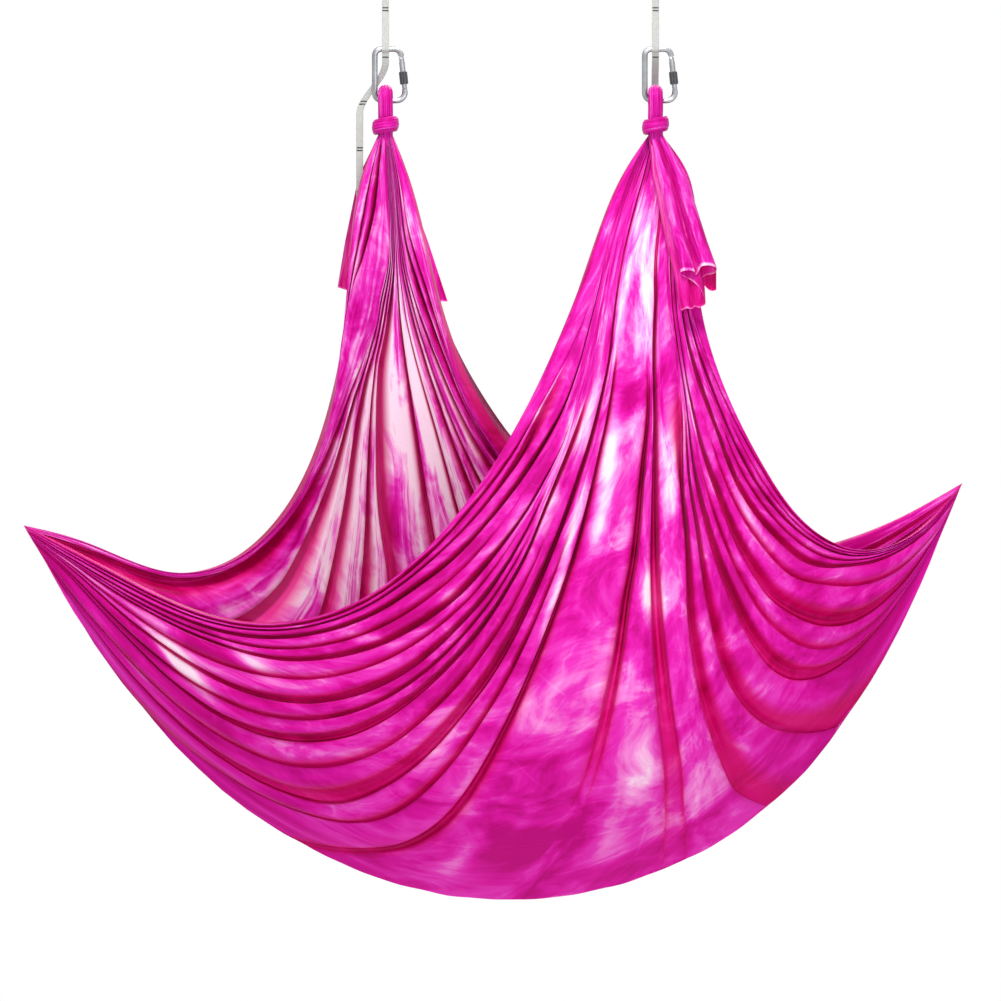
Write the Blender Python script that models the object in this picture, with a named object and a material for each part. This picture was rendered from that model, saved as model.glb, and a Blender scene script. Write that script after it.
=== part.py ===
"""Aerial hammock: one wide nylon cloth hung from two daisy-chain straps by screw-gate carabiners.

Metres, +Z up, camera side -Y. The origin lies midway between the two ceiling eyes, at the height where
the upper carabiners bear on them. The straps swing about the upper carabiners' baskets, and the lower
carabiners with the cloth tilt about the pockets that hold them, both about axes along X.
"""
import math

import bmesh
import bpy
import numpy as np
from mathutils import Matrix, Vector

# Suspension
ANCHOR_SPACING = 0.540
CLEARANCE = 0.0003

# Carabiner, round stock bent to a D: the load hangs close to the spine
STOCK_DIAMETER = 0.012
BOW_SPACING = 0.103
SPINE_OFFSET = 0.0215
GATE_OFFSET_TOP = 0.030
GATE_OFFSET_BOTTOM = 0.041
HINGE_CORNER_RADIUS = 0.015
SPINE_TOP_RADIUS = 0.013
SPINE_BOTTOM_RADIUS = 0.015
NOSE_CORNER_RADIUS = 0.017
HINGE_DROP = 0.0206
NOSE_NECK_DIAMETER = 0.0108
NOSE_NECK_LENGTH = 0.0040
TONGUE_THICKNESS = 0.005
TONGUE_WIDTH = 0.010
TONGUE_ROOT = 0.003

# Gate and its lock
GATE_DIAMETER = 0.0114
GATE_LENGTH = 0.0585
GATE_CHAMFER = 0.0005
HINGE_PIN_DIAMETER = 0.0032
LATCH_PIN_DIAMETER = 0.0030
LATCH_PIN_SETBACK = 0.0033
HOOK_DEPTH = 0.0018
HOOK_LIP = 0.0019
NOTCH_WIDTH = 0.0038
SLOT_END_GAP = 0.0007
BORE_DIAMETER = 0.0050
BORE_LENGTH = 0.026
PUSH_ROD_STEM = 0.0030
PUSH_ROD_LENGTH = 0.0065
PUSH_ROD_COLLAR = 0.0020
SPRING_WIRE = 0.0007
SLEEVE_LENGTH = 0.025
SLEEVE_DIAMETER = 0.0166
SLEEVE_GROOVE = 0.0007
SLEEVE_CHAMFER = 0.0010
SLEEVE_TRAVEL = 0.0107
SLEEVE_OVERLAP = 0.0016
PUSH_ROD_TIP_SHARE = 0.67
CUT_OVERRUN = 0.004

# Daisy-chain strap
STRAP_WIDTH = 0.014
STRAP_THICKNESS = 0.0022
POCKET_PITCH = 0.093
FIRST_TACK_DROP = 0.027
TACK_LENGTH = 0.010
ROD_TO_TACK = 0.0135
POCKET_SLIT = 0.0012
STRAP_TAIL = 0.305
POCKETS_ABOVE = 2
POCKETS_BELOW = 4
LEFT_TAIL_SIDESTEP = -0.052
LEFT_TAIL_SETBACK = 0.019
RIGHT_TAIL_SETBACK = 0.047
SETBACK_END = 0.069
SIDESTEP_START = 0.026
SIDESTEP_END = 0.129
TAPER_SHARES = (0.66, 0.33)
LOADED_POCKET_SHARES = (0.25, 0.5, 0.75)

# Cloth, 4.0 m long and 2.8 m wide when flat
SPAN = 1.880
DROP = 1.600
POCKET_DEPTH = 0.360
BUNDLE_WIDTH = 0.030
BUNDLE_DEPTH = 0.026
NECK_LENGTH = 0.070
NECK_SETBACK = 0.0145
CHOKE_DROP = 0.050
CHOKE_HEIGHT = 0.030
CHOKE_THICKNESS = 0.012
CHOKE_TILT = 0.004
NECK_LEG_SHARES = (0.35, 0.6, 0.8, 1.0)
NECK_PULL_START_SHARE = 0.1
NECK_PULL_END_SHARE = 0.7
PANEL_THICKNESS = 0.004
GATHER_THICKNESS = 0.026
GATHER_END_THICKNESS = 0.012
TAIL_THICKNESS = 0.008
FOLD_DEPTH = 0.015
GATHER_FOLD_DEPTH = 0.005
TAIL_FOLD_DEPTH = 0.007
# Shares of a row or of a warp line over which folds and roundness grow or fade
SELVEDGE_SHARE = 0.125
FOLD_GROWTH_SHARE = 0.33
TAIL_GROWTH_SHARE = 0.4
PANEL_ROUND_SHARE = 0.3
TAIL_ROUND_LOSS_SHARE = 0.8
EDGE_THICKNESS_SHARE = 0.25

# Counts
FOLDS_PER_PANEL = 8
COLUMNS_PER_FOLD = 5
PANEL_ROWS = 11
GATHER_ROWS = 4
TAIL_FOLDS = 5
TAIL_ROWS = 4
STOCK_SIDES = 10
ARC_STEPS = 6
TONGUE_STEPS = 10
DOME_STEPS = 4
EYE_STEPS = 8
LENS_STEPS = 6
STRAP_ARC_STEPS = 5
STRAP_TAIL_STEPS = 40
NECK_STEPS = 8
CHOKE_STEPS = 18
CHOKE_SIDES = 8
GATE_SIDES = 16
PIN_SIDES = 12
SLEEVE_GROOVES = 12
BUNDLE_SIDES = 12

# Angles in degrees above which an edge is drawn sharp
SHARP_ANGLE = 40
FLUTE_SHARP_ANGLE = 25
CLOTH_SHARP_ANGLE = 60

# Where along a guide the gathered bundle ends and the open panel starts
GATHER_END_SHARE = 0.16

# Warp lines of the two panels, from the neck down to the bottom fold. Each has its place across the
# cloth, then points as shares of half the span (from the middle), half the pocket depth and the drop.
FRONT_GUIDE_SHARES = [
    (0.00, [(0.221, 0.04, 0.912), (0.145, -0.12, 0.811), (0.000, -0.53, 0.610), (-0.160, -0.83, 0.468),
            (-0.355, -0.94, 0.374), (-0.577, -0.78, 0.349), (-0.879, -0.33, 0.415), (-1.057, 0.00, 0.469)]),
    (0.12, [(0.234, 0.04, 0.912), (0.170, -0.14, 0.811), (0.053, -0.61, 0.610), (-0.089, -0.96, 0.443),
            (-0.287, -1.00, 0.324), (-0.489, -0.83, 0.279), (-0.713, -0.44, 0.279), (-0.879, 0.00, 0.300)]),
    (0.30, [(0.251, 0.04, 0.912), (0.196, -0.14, 0.811), (0.121, -0.64, 0.599), (0.004, -1.00, 0.386),
            (-0.170, -0.92, 0.221), (-0.362, -0.50, 0.130), (-0.540, 0.00, 0.098)]),
    (0.50, [(0.281, 0.04, 0.912), (0.243, -0.13, 0.811), (0.196, -0.67, 0.561), (0.128, -0.99, 0.311),
            (0.055, -0.69, 0.124), (-0.021, 0.00, 0.001)]),
    (0.70, [(0.315, 0.04, 0.912), (0.298, -0.12, 0.811), (0.309, -0.58, 0.574), (0.357, -0.83, 0.361),
            (0.426, -0.58, 0.205), (0.491, 0.00, 0.102)]),
    (0.88, [(0.340, 0.04, 0.912), (0.343, -0.10, 0.811), (0.400, -0.47, 0.611), (0.515, -0.69, 0.461),
            (0.655, -0.47, 0.367), (0.794, 0.00, 0.329)]),
    (1.00, [(0.355, 0.04, 0.912), (0.381, -0.08, 0.786), (0.430, -0.31, 0.649), (0.521, -0.50, 0.539),
            (0.609, -0.53, 0.470), (0.709, -0.39, 0.440), (0.840, -0.17, 0.455), (0.940, 0.00, 0.504)]),
]
BACK_GUIDE_SHARES = [
    (0.00, [(-0.336, -0.06, 0.909), (-0.368, 0.07, 0.761), (-0.421, 0.47, 0.599), (-0.536, 0.78, 0.470),
            (-0.638, 0.78, 0.422), (-0.760, 0.61, 0.409), (-0.943, 0.22, 0.449), (-1.053, 0.00, 0.476)]),
    (0.12, [(-0.321, -0.06, 0.909), (-0.347, 0.08, 0.749), (-0.387, 0.56, 0.586), (-0.489, 0.92, 0.426),
            (-0.600, 0.83, 0.344), (-0.740, 0.44, 0.305), (-0.879, 0.00, 0.300)]),
    (0.30, [(-0.304, -0.06, 0.909), (-0.311, 0.10, 0.749), (-0.332, 0.64, 0.561), (-0.391, 0.99, 0.324),
            (-0.464, 0.61, 0.174), (-0.540, 0.00, 0.098)]),
    (0.50, [(-0.287, -0.06, 0.909), (-0.268, 0.10, 0.749), (-0.230, 0.64, 0.561), (-0.170, 0.99, 0.311),
            (-0.094, 0.67, 0.124), (-0.021, 0.00, 0.001)]),
    (0.70, [(-0.270, -0.06, 0.909), (-0.226, 0.08, 0.749), (-0.136, 0.53, 0.586), (0.053, 0.92, 0.367),
            (0.281, 0.58, 0.193), (0.491, 0.00, 0.102)]),
    (0.88, [(-0.253, -0.06, 0.909), (-0.191, 0.07, 0.749), (-0.077, 0.44, 0.593), (0.160, 0.78, 0.443),
            (0.479, 0.53, 0.334), (0.794, 0.00, 0.329)]),
    (1.00, [(-0.240, -0.06, 0.909), (-0.170, 0.06, 0.749), (-0.038, 0.39, 0.580), (0.170, 0.67, 0.470),
            (0.421, 0.64, 0.426), (0.668, 0.42, 0.445), (0.798, 0.22, 0.471), (0.936, 0.00, 0.511)]),
]
LEFT_TAIL_SHARES = [
    (0.0, [(-0.310, 0.15, 0.905), (-0.322, 0.27, 0.855), (-0.392, 0.33, 0.766)]),
    (0.5, [(-0.285, 0.15, 0.905), (-0.272, 0.27, 0.855), (-0.262, 0.33, 0.760)]),
    (1.0, [(-0.255, 0.15, 0.905), (-0.222, 0.27, 0.850), (-0.155, 0.33, 0.753)]),
]
RIGHT_TAIL_SHARES = [
    (0.0, [(0.270, -0.16, 0.905), (0.300, -0.30, 0.855), (0.340, -0.42, 0.740)]),
    (0.5, [(0.300, -0.16, 0.905), (0.330, -0.30, 0.855), (0.374, -0.42, 0.752)]),
    (1.0, [(0.325, -0.16, 0.905), (0.360, -0.30, 0.850), (0.412, -0.42, 0.780)]),
]

# Sizes that follow from those above
STOCK_RADIUS = STOCK_DIAMETER / 2
UPPER_BOW_Z = STOCK_RADIUS
SWING_Z = UPPER_BOW_Z - BOW_SPACING
STRAP_REACH = FIRST_TACK_DROP + POCKETS_ABOVE * POCKET_PITCH - ROD_TO_TACK
LOWER_BOW_Z = SWING_Z - STRAP_REACH
BASKET_Z = LOWER_BOW_Z - BOW_SPACING
LOWEST_Z = BASKET_Z - DROP
GATE_SLANT = math.atan2(GATE_OFFSET_BOTTOM - GATE_OFFSET_TOP, BOW_SPACING)
TONGUE_RADIUS = TONGUE_WIDTH / 2
GATE_RADIUS = GATE_DIAMETER / 2
SLOT_WIDTH = TONGUE_THICKNESS + 2 * CLEARANCE
HINGE_SHOULDER = GATE_RADIUS + CLEARANCE + GATE_CHAMFER / 2
NOSE_SHOULDER = GATE_LENGTH + SLOT_END_GAP
LATCH_Z = GATE_LENGTH - LATCH_PIN_SETBACK
NOTCH_START = LATCH_Z - NOTCH_WIDTH / 2
NOSE_TIP = NOTCH_START - HOOK_LIP
SLEEVE_REST = NOSE_SHOULDER + SLEEVE_OVERLAP - SLEEVE_TRAVEL
SIDES = {"left": -ANCHOR_SPACING / 2, "right": ANCHOR_SPACING / 2}


def clear_scene():
    for obj in list(bpy.data.objects):
        bpy.data.objects.remove(obj, do_unlink=True)


def material(name, colour, roughness, metallic=0.0):
    made = bpy.data.materials.new(name)
    made.use_nodes = True
    surface = made.node_tree.nodes["Principled BSDF"]
    surface.inputs["Base Color"].default_value = (*colour, 1.0)
    surface.inputs["Roughness"].default_value = roughness
    surface.inputs["Metallic"].default_value = metallic
    made.diffuse_color = (*colour, 1.0)
    return made


def empty(name, location, parent=None):
    made = bpy.data.objects.new(name, None)
    bpy.context.scene.collection.objects.link(made)
    made.location = location
    made.parent = parent
    return made


def mesh_object(name, mesh, finish, parent=None, location=(0, 0, 0), slant=0.0):
    made = bpy.data.objects.new(name, mesh)
    bpy.context.scene.collection.objects.link(made)
    made.parent = parent
    made.location = location
    made.rotation_euler = (0, -slant, 0)
    if not mesh.materials:
        mesh.materials.append(finish)
    return made


def mesh_from(name, points, faces, sharp_angle=SHARP_ANGLE):
    mesh = bpy.data.meshes.new(name)
    mesh.from_pydata([tuple(map(float, point)) for point in points], [], faces)
    work = bmesh.new()
    work.from_mesh(mesh)
    bmesh.ops.recalc_face_normals(work, faces=work.faces)
    outlines = [face for face in work.faces if len(face.verts) > 4]
    bmesh.ops.triangulate(work, faces=outlines)
    work.to_mesh(mesh)
    work.free()
    mesh.shade_smooth()
    mesh.set_sharp_from_angle(angle=math.radians(sharp_angle))
    return mesh


def combined(name, base, joins=(), cuts=()):
    """One mesh from a base mesh with others joined to it, then others cut from it."""
    body = mesh_object(name + "_work", base, None)
    helpers = []
    for operation, meshes in (("UNION", joins), ("DIFFERENCE", cuts)):
        for mesh in meshes:
            helper = mesh_object(name + "_tool", mesh, None)
            helper.hide_render = True
            helper.display_type = "WIRE"
            helpers.append(helper)
            modifier = body.modifiers.new(operation.title(), "BOOLEAN")
            modifier.operation = operation
            modifier.solver = "EXACT"
            modifier.object = helper
    graph = bpy.context.evaluated_depsgraph_get()
    mesh = bpy.data.meshes.new_from_object(body.evaluated_get(graph))
    mesh.name = name
    mesh.materials.clear()
    mesh.shade_smooth()
    mesh.set_sharp_from_angle(angle=math.radians(SHARP_ANGLE))
    for helper in [body] + helpers:
        bpy.data.objects.remove(helper, do_unlink=True)
    return mesh


def loft(name, rings, closed=False, sharp_angle=SHARP_ANGLE):
    """A skin over rings of points, capped at both ends or joined end to end."""
    count = len(rings[0])
    points = [point for ring in rings for point in ring]
    faces = []
    steps = len(rings) if closed else len(rings) - 1
    for i in range(steps):
        here = i * count
        there = (i + 1) % len(rings) * count
        for j in range(count):
            k = (j + 1) % count
            faces.append((here + j, here + k, there + k, there + j))
    if not closed:
        faces.append(tuple(reversed(range(count))))
        faces.append(tuple(range(len(points) - count, len(points))))
    return mesh_from(name, points, faces, sharp_angle)


def turned(name, profile, sides):
    """A solid turned about local Z from (distance below the origin, radius) points."""
    rings = []
    for depth, radius in profile:
        angles = [2 * math.pi * j / sides for j in range(sides)]
        rings.append([(radius * math.cos(a), radius * math.sin(a), -depth) for a in angles])
    return loft(name, rings)


def ring_turned(name, profile, sides):
    """A turned ring: the closed profile of (distance below the origin, radius) goes round local Z."""
    rings = []
    for j in range(sides):
        angle = 2 * math.pi * j / sides
        rings.append([(radius * math.cos(angle), radius * math.sin(angle), -depth) for depth, radius in profile])
    return loft(name, rings, closed=True)


def crosswise_rod(name, depth, diameter, length, sides=PIN_SIDES):
    """A round rod along local Y at a distance below the origin."""
    work = bmesh.new()
    place = Matrix.Translation((0, 0, -depth)) @ Matrix.Rotation(math.pi / 2, 4, "X")
    bmesh.ops.create_cone(work, cap_ends=True, segments=sides, radius1=diameter / 2, radius2=diameter / 2,
                          depth=length, matrix=place)
    mesh = bpy.data.meshes.new(name)
    work.to_mesh(mesh)
    work.free()
    mesh.shade_smooth()
    mesh.set_sharp_from_angle(angle=math.radians(SHARP_ANGLE))
    return mesh


def block(name, low, high):
    work = bmesh.new()
    size = [b - a for a, b in zip(low, high)]
    centre = [(a + b) / 2 for a, b in zip(low, high)]
    place = Matrix.Translation(centre) @ Matrix.Diagonal((*size, 1))
    bmesh.ops.create_cube(work, size=1.0, matrix=place)
    mesh = bpy.data.meshes.new(name)
    work.to_mesh(mesh)
    work.free()
    return mesh


def plate(name, outline, thickness):
    """A flat plate in local XZ, centred on Y, from its outline of (x, z) points."""
    near = [(x, -thickness / 2, z) for x, z in outline]
    far = [(x, thickness / 2, z) for x, z in outline]
    return loft(name, [near, far])


def arc(centre, radius, start, end, steps):
    """Points on an arc in (x, z), angles in degrees."""
    found = []
    for i in range(steps + 1):
        angle = math.radians(start + (end - start) * i / steps)
        found.append((centre[0] + radius * math.cos(angle), centre[1] + radius * math.sin(angle)))
    return found


def rounded_path(corners, radii, steps):
    """A path of (x, z) points through the corners, each rounded to its radius."""
    path = [Vector(corners[0])]
    for before, corner, after, radius in zip(corners, corners[1:], corners[2:], radii):
        corner = Vector(corner)
        back = (Vector(before) - corner).normalized()
        ahead = (Vector(after) - corner).normalized()
        half = back.angle(ahead) / 2
        centre = corner + (back + ahead).normalized() * radius / math.sin(half)
        first = corner + back * radius / math.tan(half) - centre
        last = corner + ahead * radius / math.tan(half) - centre
        turn = first.angle_signed(last)
        for i in range(steps + 1):
            path.append(centre + Matrix.Rotation(-turn * i / steps, 2) @ first)
    path.append(Vector(corners[-1]))
    return path


def gate_point(depth):
    """The (x, z) point of the gate's axis at a distance from the hinge pin, seen from the top bow."""
    along = HINGE_DROP + depth
    return (GATE_OFFSET_TOP + along * math.sin(GATE_SLANT), -along * math.cos(GATE_SLANT))


def to_body(mesh, depth=0.0):
    """Moves a mesh from the gate's own axes, origin at the hinge pin, to the body's."""
    x, z = gate_point(depth)
    mesh.transform(Matrix.Translation((x, 0, z)) @ Matrix.Rotation(-GATE_SLANT, 4, "Y"))
    return mesh


def carabiner_stock():
    """The bent rod, from the hinge shoulder round the spine to the nose shoulder."""
    corners = [
        gate_point(-HINGE_SHOULDER),
        (GATE_OFFSET_TOP, 0),
        (-SPINE_OFFSET, 0),
        (-SPINE_OFFSET, -BOW_SPACING),
        (GATE_OFFSET_BOTTOM, -BOW_SPACING),
        gate_point(NOSE_SHOULDER + NOSE_NECK_LENGTH),
    ]
    radii = [HINGE_CORNER_RADIUS, SPINE_TOP_RADIUS, SPINE_BOTTOM_RADIUS, NOSE_CORNER_RADIUS]
    path = rounded_path(corners, radii, ARC_STEPS)
    sizes = [STOCK_RADIUS] * len(path)
    sizes[-1] = NOSE_NECK_DIAMETER / 2
    path.append(Vector(gate_point(NOSE_SHOULDER)))
    sizes.append(NOSE_NECK_DIAMETER / 2)
    rings = []
    for i, (point, radius) in enumerate(zip(path, sizes)):
        before = path[max(i - 1, 0)]
        after = path[min(i + 1, len(path) - 1)]
        along = (after - before).normalized()
        across = Vector((-along.y, along.x))
        ring = []
        for j in range(STOCK_SIDES):
            angle = 2 * math.pi * (j + 0.5) / STOCK_SIDES
            offset = across * radius * math.cos(angle)
            ring.append((point.x + offset.x, radius * math.sin(angle), point.y + offset.y))
        rings.append(ring)
    return loft("carabiner_stock", rings)


def hinge_tongue():
    root = HINGE_SHOULDER + TONGUE_ROOT
    outline = [(-TONGUE_RADIUS, root)]
    outline += arc((0, 0), TONGUE_RADIUS, 180, 360, TONGUE_STEPS)
    outline += [(TONGUE_RADIUS, root)]
    return to_body(plate("hinge_tongue", outline, TONGUE_THICKNESS))


def nose_tongue():
    """The key-shaped nose: a hook behind which the gate's latch pin seats."""
    half = TONGUE_WIDTH / 2 - GATE_CHAMFER
    root = -NOSE_SHOULDER - TONGUE_ROOT
    lip = -NOTCH_START
    outline = [
        (half, root),
        (half, -NOSE_TIP - GATE_CHAMFER),
        (half - GATE_CHAMFER, -NOSE_TIP),
        (-HOOK_DEPTH, -NOSE_TIP),
        (-HOOK_DEPTH, lip),
        (HOOK_DEPTH, lip),
        (HOOK_DEPTH, lip - NOTCH_WIDTH),
        (-half, lip - NOTCH_WIDTH),
        (-half, root),
    ]
    return to_body(plate("nose_tongue", outline, TONGUE_THICKNESS))


def carabiner_body_mesh():
    hole = crosswise_rod("hinge_hole", 0, HINGE_PIN_DIAMETER + 2 * CLEARANCE, STOCK_DIAMETER + CUT_OVERRUN)
    joins = [hinge_tongue(), nose_tongue()]
    return combined("carabiner_body", carabiner_stock(), joins, [to_body(hole)])


def gate_mesh():
    """The gate tube: a round end about the hinge, a slot at each end and the bore for its spring."""
    profile = []
    for i in range(DOME_STEPS):
        angle = math.pi / 2 * (i + 0.5) / DOME_STEPS
        profile.append((-GATE_RADIUS * math.cos(angle), GATE_RADIUS * math.sin(angle)))
    profile += [(0, GATE_RADIUS), (GATE_LENGTH - GATE_CHAMFER, GATE_RADIUS),
                (GATE_LENGTH, GATE_RADIUS - GATE_CHAMFER)]
    half = SLOT_WIDTH / 2
    hinge_slot_end = TONGUE_RADIUS + 2 * CLEARANCE
    cuts = [
        block("hinge_slot", (-GATE_DIAMETER, -half, -hinge_slot_end), (GATE_DIAMETER, half, GATE_DIAMETER)),
        block("nose_slot", (-GATE_DIAMETER, -half, -GATE_LENGTH - CUT_OVERRUN),
              (GATE_DIAMETER, half, -NOSE_TIP + CLEARANCE)),
        turned("spring_bore", [(0, BORE_DIAMETER / 2), (hinge_slot_end + BORE_LENGTH, BORE_DIAMETER / 2)],
               PIN_SIDES),
        crosswise_rod("pin_hole", 0, HINGE_PIN_DIAMETER + 2 * CLEARANCE, GATE_DIAMETER + CUT_OVERRUN),
        crosswise_rod("latch_hole", LATCH_Z, LATCH_PIN_DIAMETER + 2 * CLEARANCE, GATE_DIAMETER + CUT_OVERRUN),
    ]
    return combined("carabiner_gate", turned("gate_tube", profile, GATE_SIDES), (), cuts)


def push_rod_mesh():
    """The rod that the spring presses against the tongue's round end."""
    tip = TONGUE_RADIUS + CLEARANCE
    stem = PUSH_ROD_STEM / 2
    collar = BORE_DIAMETER / 2 - CLEARANCE
    seat = tip + PUSH_ROD_LENGTH - PUSH_ROD_COLLAR
    small = stem * PUSH_ROD_TIP_SHARE
    profile = [(tip, small), (tip + stem - small, stem), (seat, stem), (seat, collar),
               (seat + PUSH_ROD_COLLAR, collar)]
    return turned("push_rod", profile, PIN_SIDES)


def spring_mesh():
    """The gate spring, drawn as the tube that its coils fill."""
    outer = BORE_DIAMETER / 2 - CLEARANCE
    inner = outer - SPRING_WIRE
    top = TONGUE_RADIUS + PUSH_ROD_LENGTH + 2 * CLEARANCE
    bottom = TONGUE_RADIUS + BORE_LENGTH + CLEARANCE
    profile = [(top, outer), (top, inner), (bottom, inner), (bottom, outer)]
    return ring_turned("gate_spring", profile, PIN_SIDES)


def sleeve_mesh():
    """The locking sleeve, fluted for the fingers. Its origin is at its lower end when unlocked."""
    count = 2 * SLEEVE_GROOVES
    inner = GATE_RADIUS + CLEARANCE
    outer = SLEEVE_DIAMETER / 2

    def ring(height, radius, groove):
        made = []
        for j in range(count):
            angle = 2 * math.pi * j / count
            reach = radius - groove * (j % 2)
            made.append((reach * math.cos(angle), reach * math.sin(angle), height))
        return made

    rings = [
        ring(0, inner, 0),
        ring(0, outer - SLEEVE_CHAMFER, 0),
        ring(SLEEVE_CHAMFER, outer, SLEEVE_GROOVE),
        ring(SLEEVE_LENGTH - SLEEVE_CHAMFER, outer, SLEEVE_GROOVE),
        ring(SLEEVE_LENGTH, outer - SLEEVE_CHAMFER, 0),
        ring(SLEEVE_LENGTH, inner, 0),
    ]
    return loft("locking_sleeve", rings, closed=True, sharp_angle=FLUTE_SHARP_ANGLE)


def add_carabiner(name, parent, location, meshes, finishes):
    """Seven pieces: body, gate, hinge pin, latch pin, spring, push rod and locking sleeve."""
    place = empty(name + "_place", location, parent)
    hinge_x, hinge_z = gate_point(0)
    sleeve_x, sleeve_z = gate_point(SLEEVE_REST)
    hinge = (hinge_x, 0, hinge_z)
    steel, dark = finishes
    mesh_object(name + "_body", meshes["body"], steel, place)
    mesh_object(name + "_gate", meshes["gate"], steel, place, hinge, GATE_SLANT)
    mesh_object(name + "_hinge_pin", meshes["hinge_pin"], steel, place, hinge, GATE_SLANT)
    mesh_object(name + "_latch_pin", meshes["latch_pin"], steel, place, hinge, GATE_SLANT)
    mesh_object(name + "_gate_spring", meshes["spring"], steel, place, hinge, GATE_SLANT)
    mesh_object(name + "_push_rod", meshes["push_rod"], steel, place, hinge, GATE_SLANT)
    mesh_object(name + "_sleeve", meshes["sleeve"], dark, place, (sleeve_x, 0, sleeve_z), GATE_SLANT)


def smooth_step(value, start, end):
    share = min(max((value - start) / (end - start), 0.0), 1.0)
    return share * share * (3 - 2 * share)


def strap_mesh(sidestep, setback):
    """A daisy chain seen from its edge, extruded to its width, with its free tail led aside."""
    eye = STOCK_RADIUS + CLEARANCE
    reach = eye + STRAP_THICKNESS
    flat = STRAP_THICKNESS

    def lens(top, bottom, half):
        sides = [[], []]
        for i in range(LENS_STEPS + 1):
            z = top + (bottom - top) * i / LENS_STEPS
            width = half * math.sin(math.pi * i / LENS_STEPS)
            sides[0].append((width, z))
            sides[1].append((-width, z))
        return sides[0] + sides[1][-2:0:-1]

    taper = FIRST_TACK_DROP - TACK_LENGTH / 2
    lower_tack = STRAP_REACH + ROD_TO_TACK
    tacks = [FIRST_TACK_DROP + i * POCKET_PITCH for i in range(POCKETS_ABOVE + POCKETS_BELOW)]
    upper_end = tacks[POCKETS_ABOVE - 1] + TACK_LENGTH / 2
    side = arc((0, 0), reach, 90, 0, STRAP_ARC_STEPS)
    side += [(flat + (reach - flat) * share, -taper * (1 - share)) for share in TAPER_SHARES]
    side += [(flat, -taper)]
    side += [(flat, -upper_end)]
    side += [(flat + (reach - flat) * share, -upper_end - (STRAP_REACH - upper_end) * share)
             for share in LOADED_POCKET_SHARES]
    side += arc((0, -STRAP_REACH), reach, 0, -60, STRAP_ARC_STEPS)
    side += [(flat, -lower_tack)]
    side += [(flat, -lower_tack - (STRAP_TAIL + STRAP_REACH - lower_tack) * i / STRAP_TAIL_STEPS)
             for i in range(1, STRAP_TAIL_STEPS + 1)]
    outline = side + [(-y, z) for y, z in reversed(side[1:])]
    strap = plate("strap", outline, STRAP_WIDTH)

    wide = STRAP_WIDTH + CUT_OVERRUN
    top_eye = arc((0, 0), eye, 180, 0, EYE_STEPS) + [(0.0, -taper + flat)]
    low_top = -upper_end - flat
    low_eye = [(0.0, low_top)] + arc((0, -STRAP_REACH), eye, 0, -180, EYE_STEPS)
    cuts = [plate("end_loop", top_eye, wide), plate("loaded_pocket", low_eye, wide)]
    for i, tack in enumerate(tacks[:-1]):
        if i == POCKETS_ABOVE - 1:
            continue
        ends = (-tack - TACK_LENGTH / 2, -tacks[i + 1] + TACK_LENGTH / 2)
        cuts.append(plate("pocket", lens(*ends, POCKET_SLIT / 2), wide))
    mesh = combined("daisy_chain", strap, (), cuts)
    # The plate lies in XZ with its faces to Y: turn it so that its width runs along X.
    mesh.transform(Matrix.Rotation(math.pi / 2, 4, "Z"))
    for vertex in mesh.vertices:
        below = -STRAP_REACH - vertex.co.z
        if below > 0:
            vertex.co.y += setback * smooth_step(below, reach, SETBACK_END)
            vertex.co.x += sidestep * smooth_step(below, SIDESTEP_START, SIDESTEP_END)
    return mesh


def spline(knots, values, at):
    """A natural cubic spline through rows of values, read at the given places."""
    knots = np.asarray(knots, float)
    values = np.asarray(values, float)
    gaps = np.diff(knots)
    slopes = np.diff(values, axis=0) / gaps[:, None]
    count = len(knots)
    system = np.eye(count)
    right = np.zeros_like(values)
    for i in range(1, count - 1):
        system[i, i - 1:i + 2] = (gaps[i - 1], 2 * (gaps[i - 1] + gaps[i]), gaps[i])
        right[i] = 6 * (slopes[i] - slopes[i - 1])
    bend = np.linalg.solve(system, right)
    place = np.clip(np.searchsorted(knots, at, side="right") - 1, 0, count - 2)
    gap = gaps[place][:, None]
    after = (knots[place + 1] - at)[:, None]
    before = (at - knots[place])[:, None]
    curve = (bend[place] * after ** 3 + bend[place + 1] * before ** 3) / (6 * gap)
    curve += (values[place] / gap - bend[place] * gap / 6) * after
    curve += (values[place + 1] / gap - bend[place + 1] * gap / 6) * before
    return curve


def smooth_curve(points, at):
    """The points' smooth curve, read at shares of its length."""
    points = np.asarray(points, float)
    steps = np.linalg.norm(np.diff(points, axis=0), axis=1)
    knots = np.concatenate([[0.0], np.cumsum(steps)]) / steps.sum()
    return spline(knots, points, at)


def cloth_grid(guides, neck, rows, columns):
    """Mid-surface points of a panel: rows are shares from neck to fold, columns shares across the cloth."""
    half_sizes = np.array([SPAN / 2, POCKET_DEPTH / 2, DROP])
    places = [place for place, _ in guides]
    lines = []
    for place, shares in guides:
        start = np.array(neck) + np.array([(place - 0.5) * BUNDLE_WIDTH, 0, 0])
        points = np.array(shares) * half_sizes + np.array([0, 0, LOWEST_Z])
        lines.append(smooth_curve(np.vstack([start, points]), rows))
    lines = np.array(lines)
    return np.array([spline(places, lines[:, i], columns) for i in range(len(rows))])


def normals_of(grid):
    """Directions square to the cloth, level along the top row, where it meets the neck."""
    down = np.gradient(grid, axis=0)
    across = np.gradient(grid, axis=1)
    normals = np.cross(across, down)
    normals[0, :, 2] = 0
    return normals / np.linalg.norm(normals, axis=2)[..., None]


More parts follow.
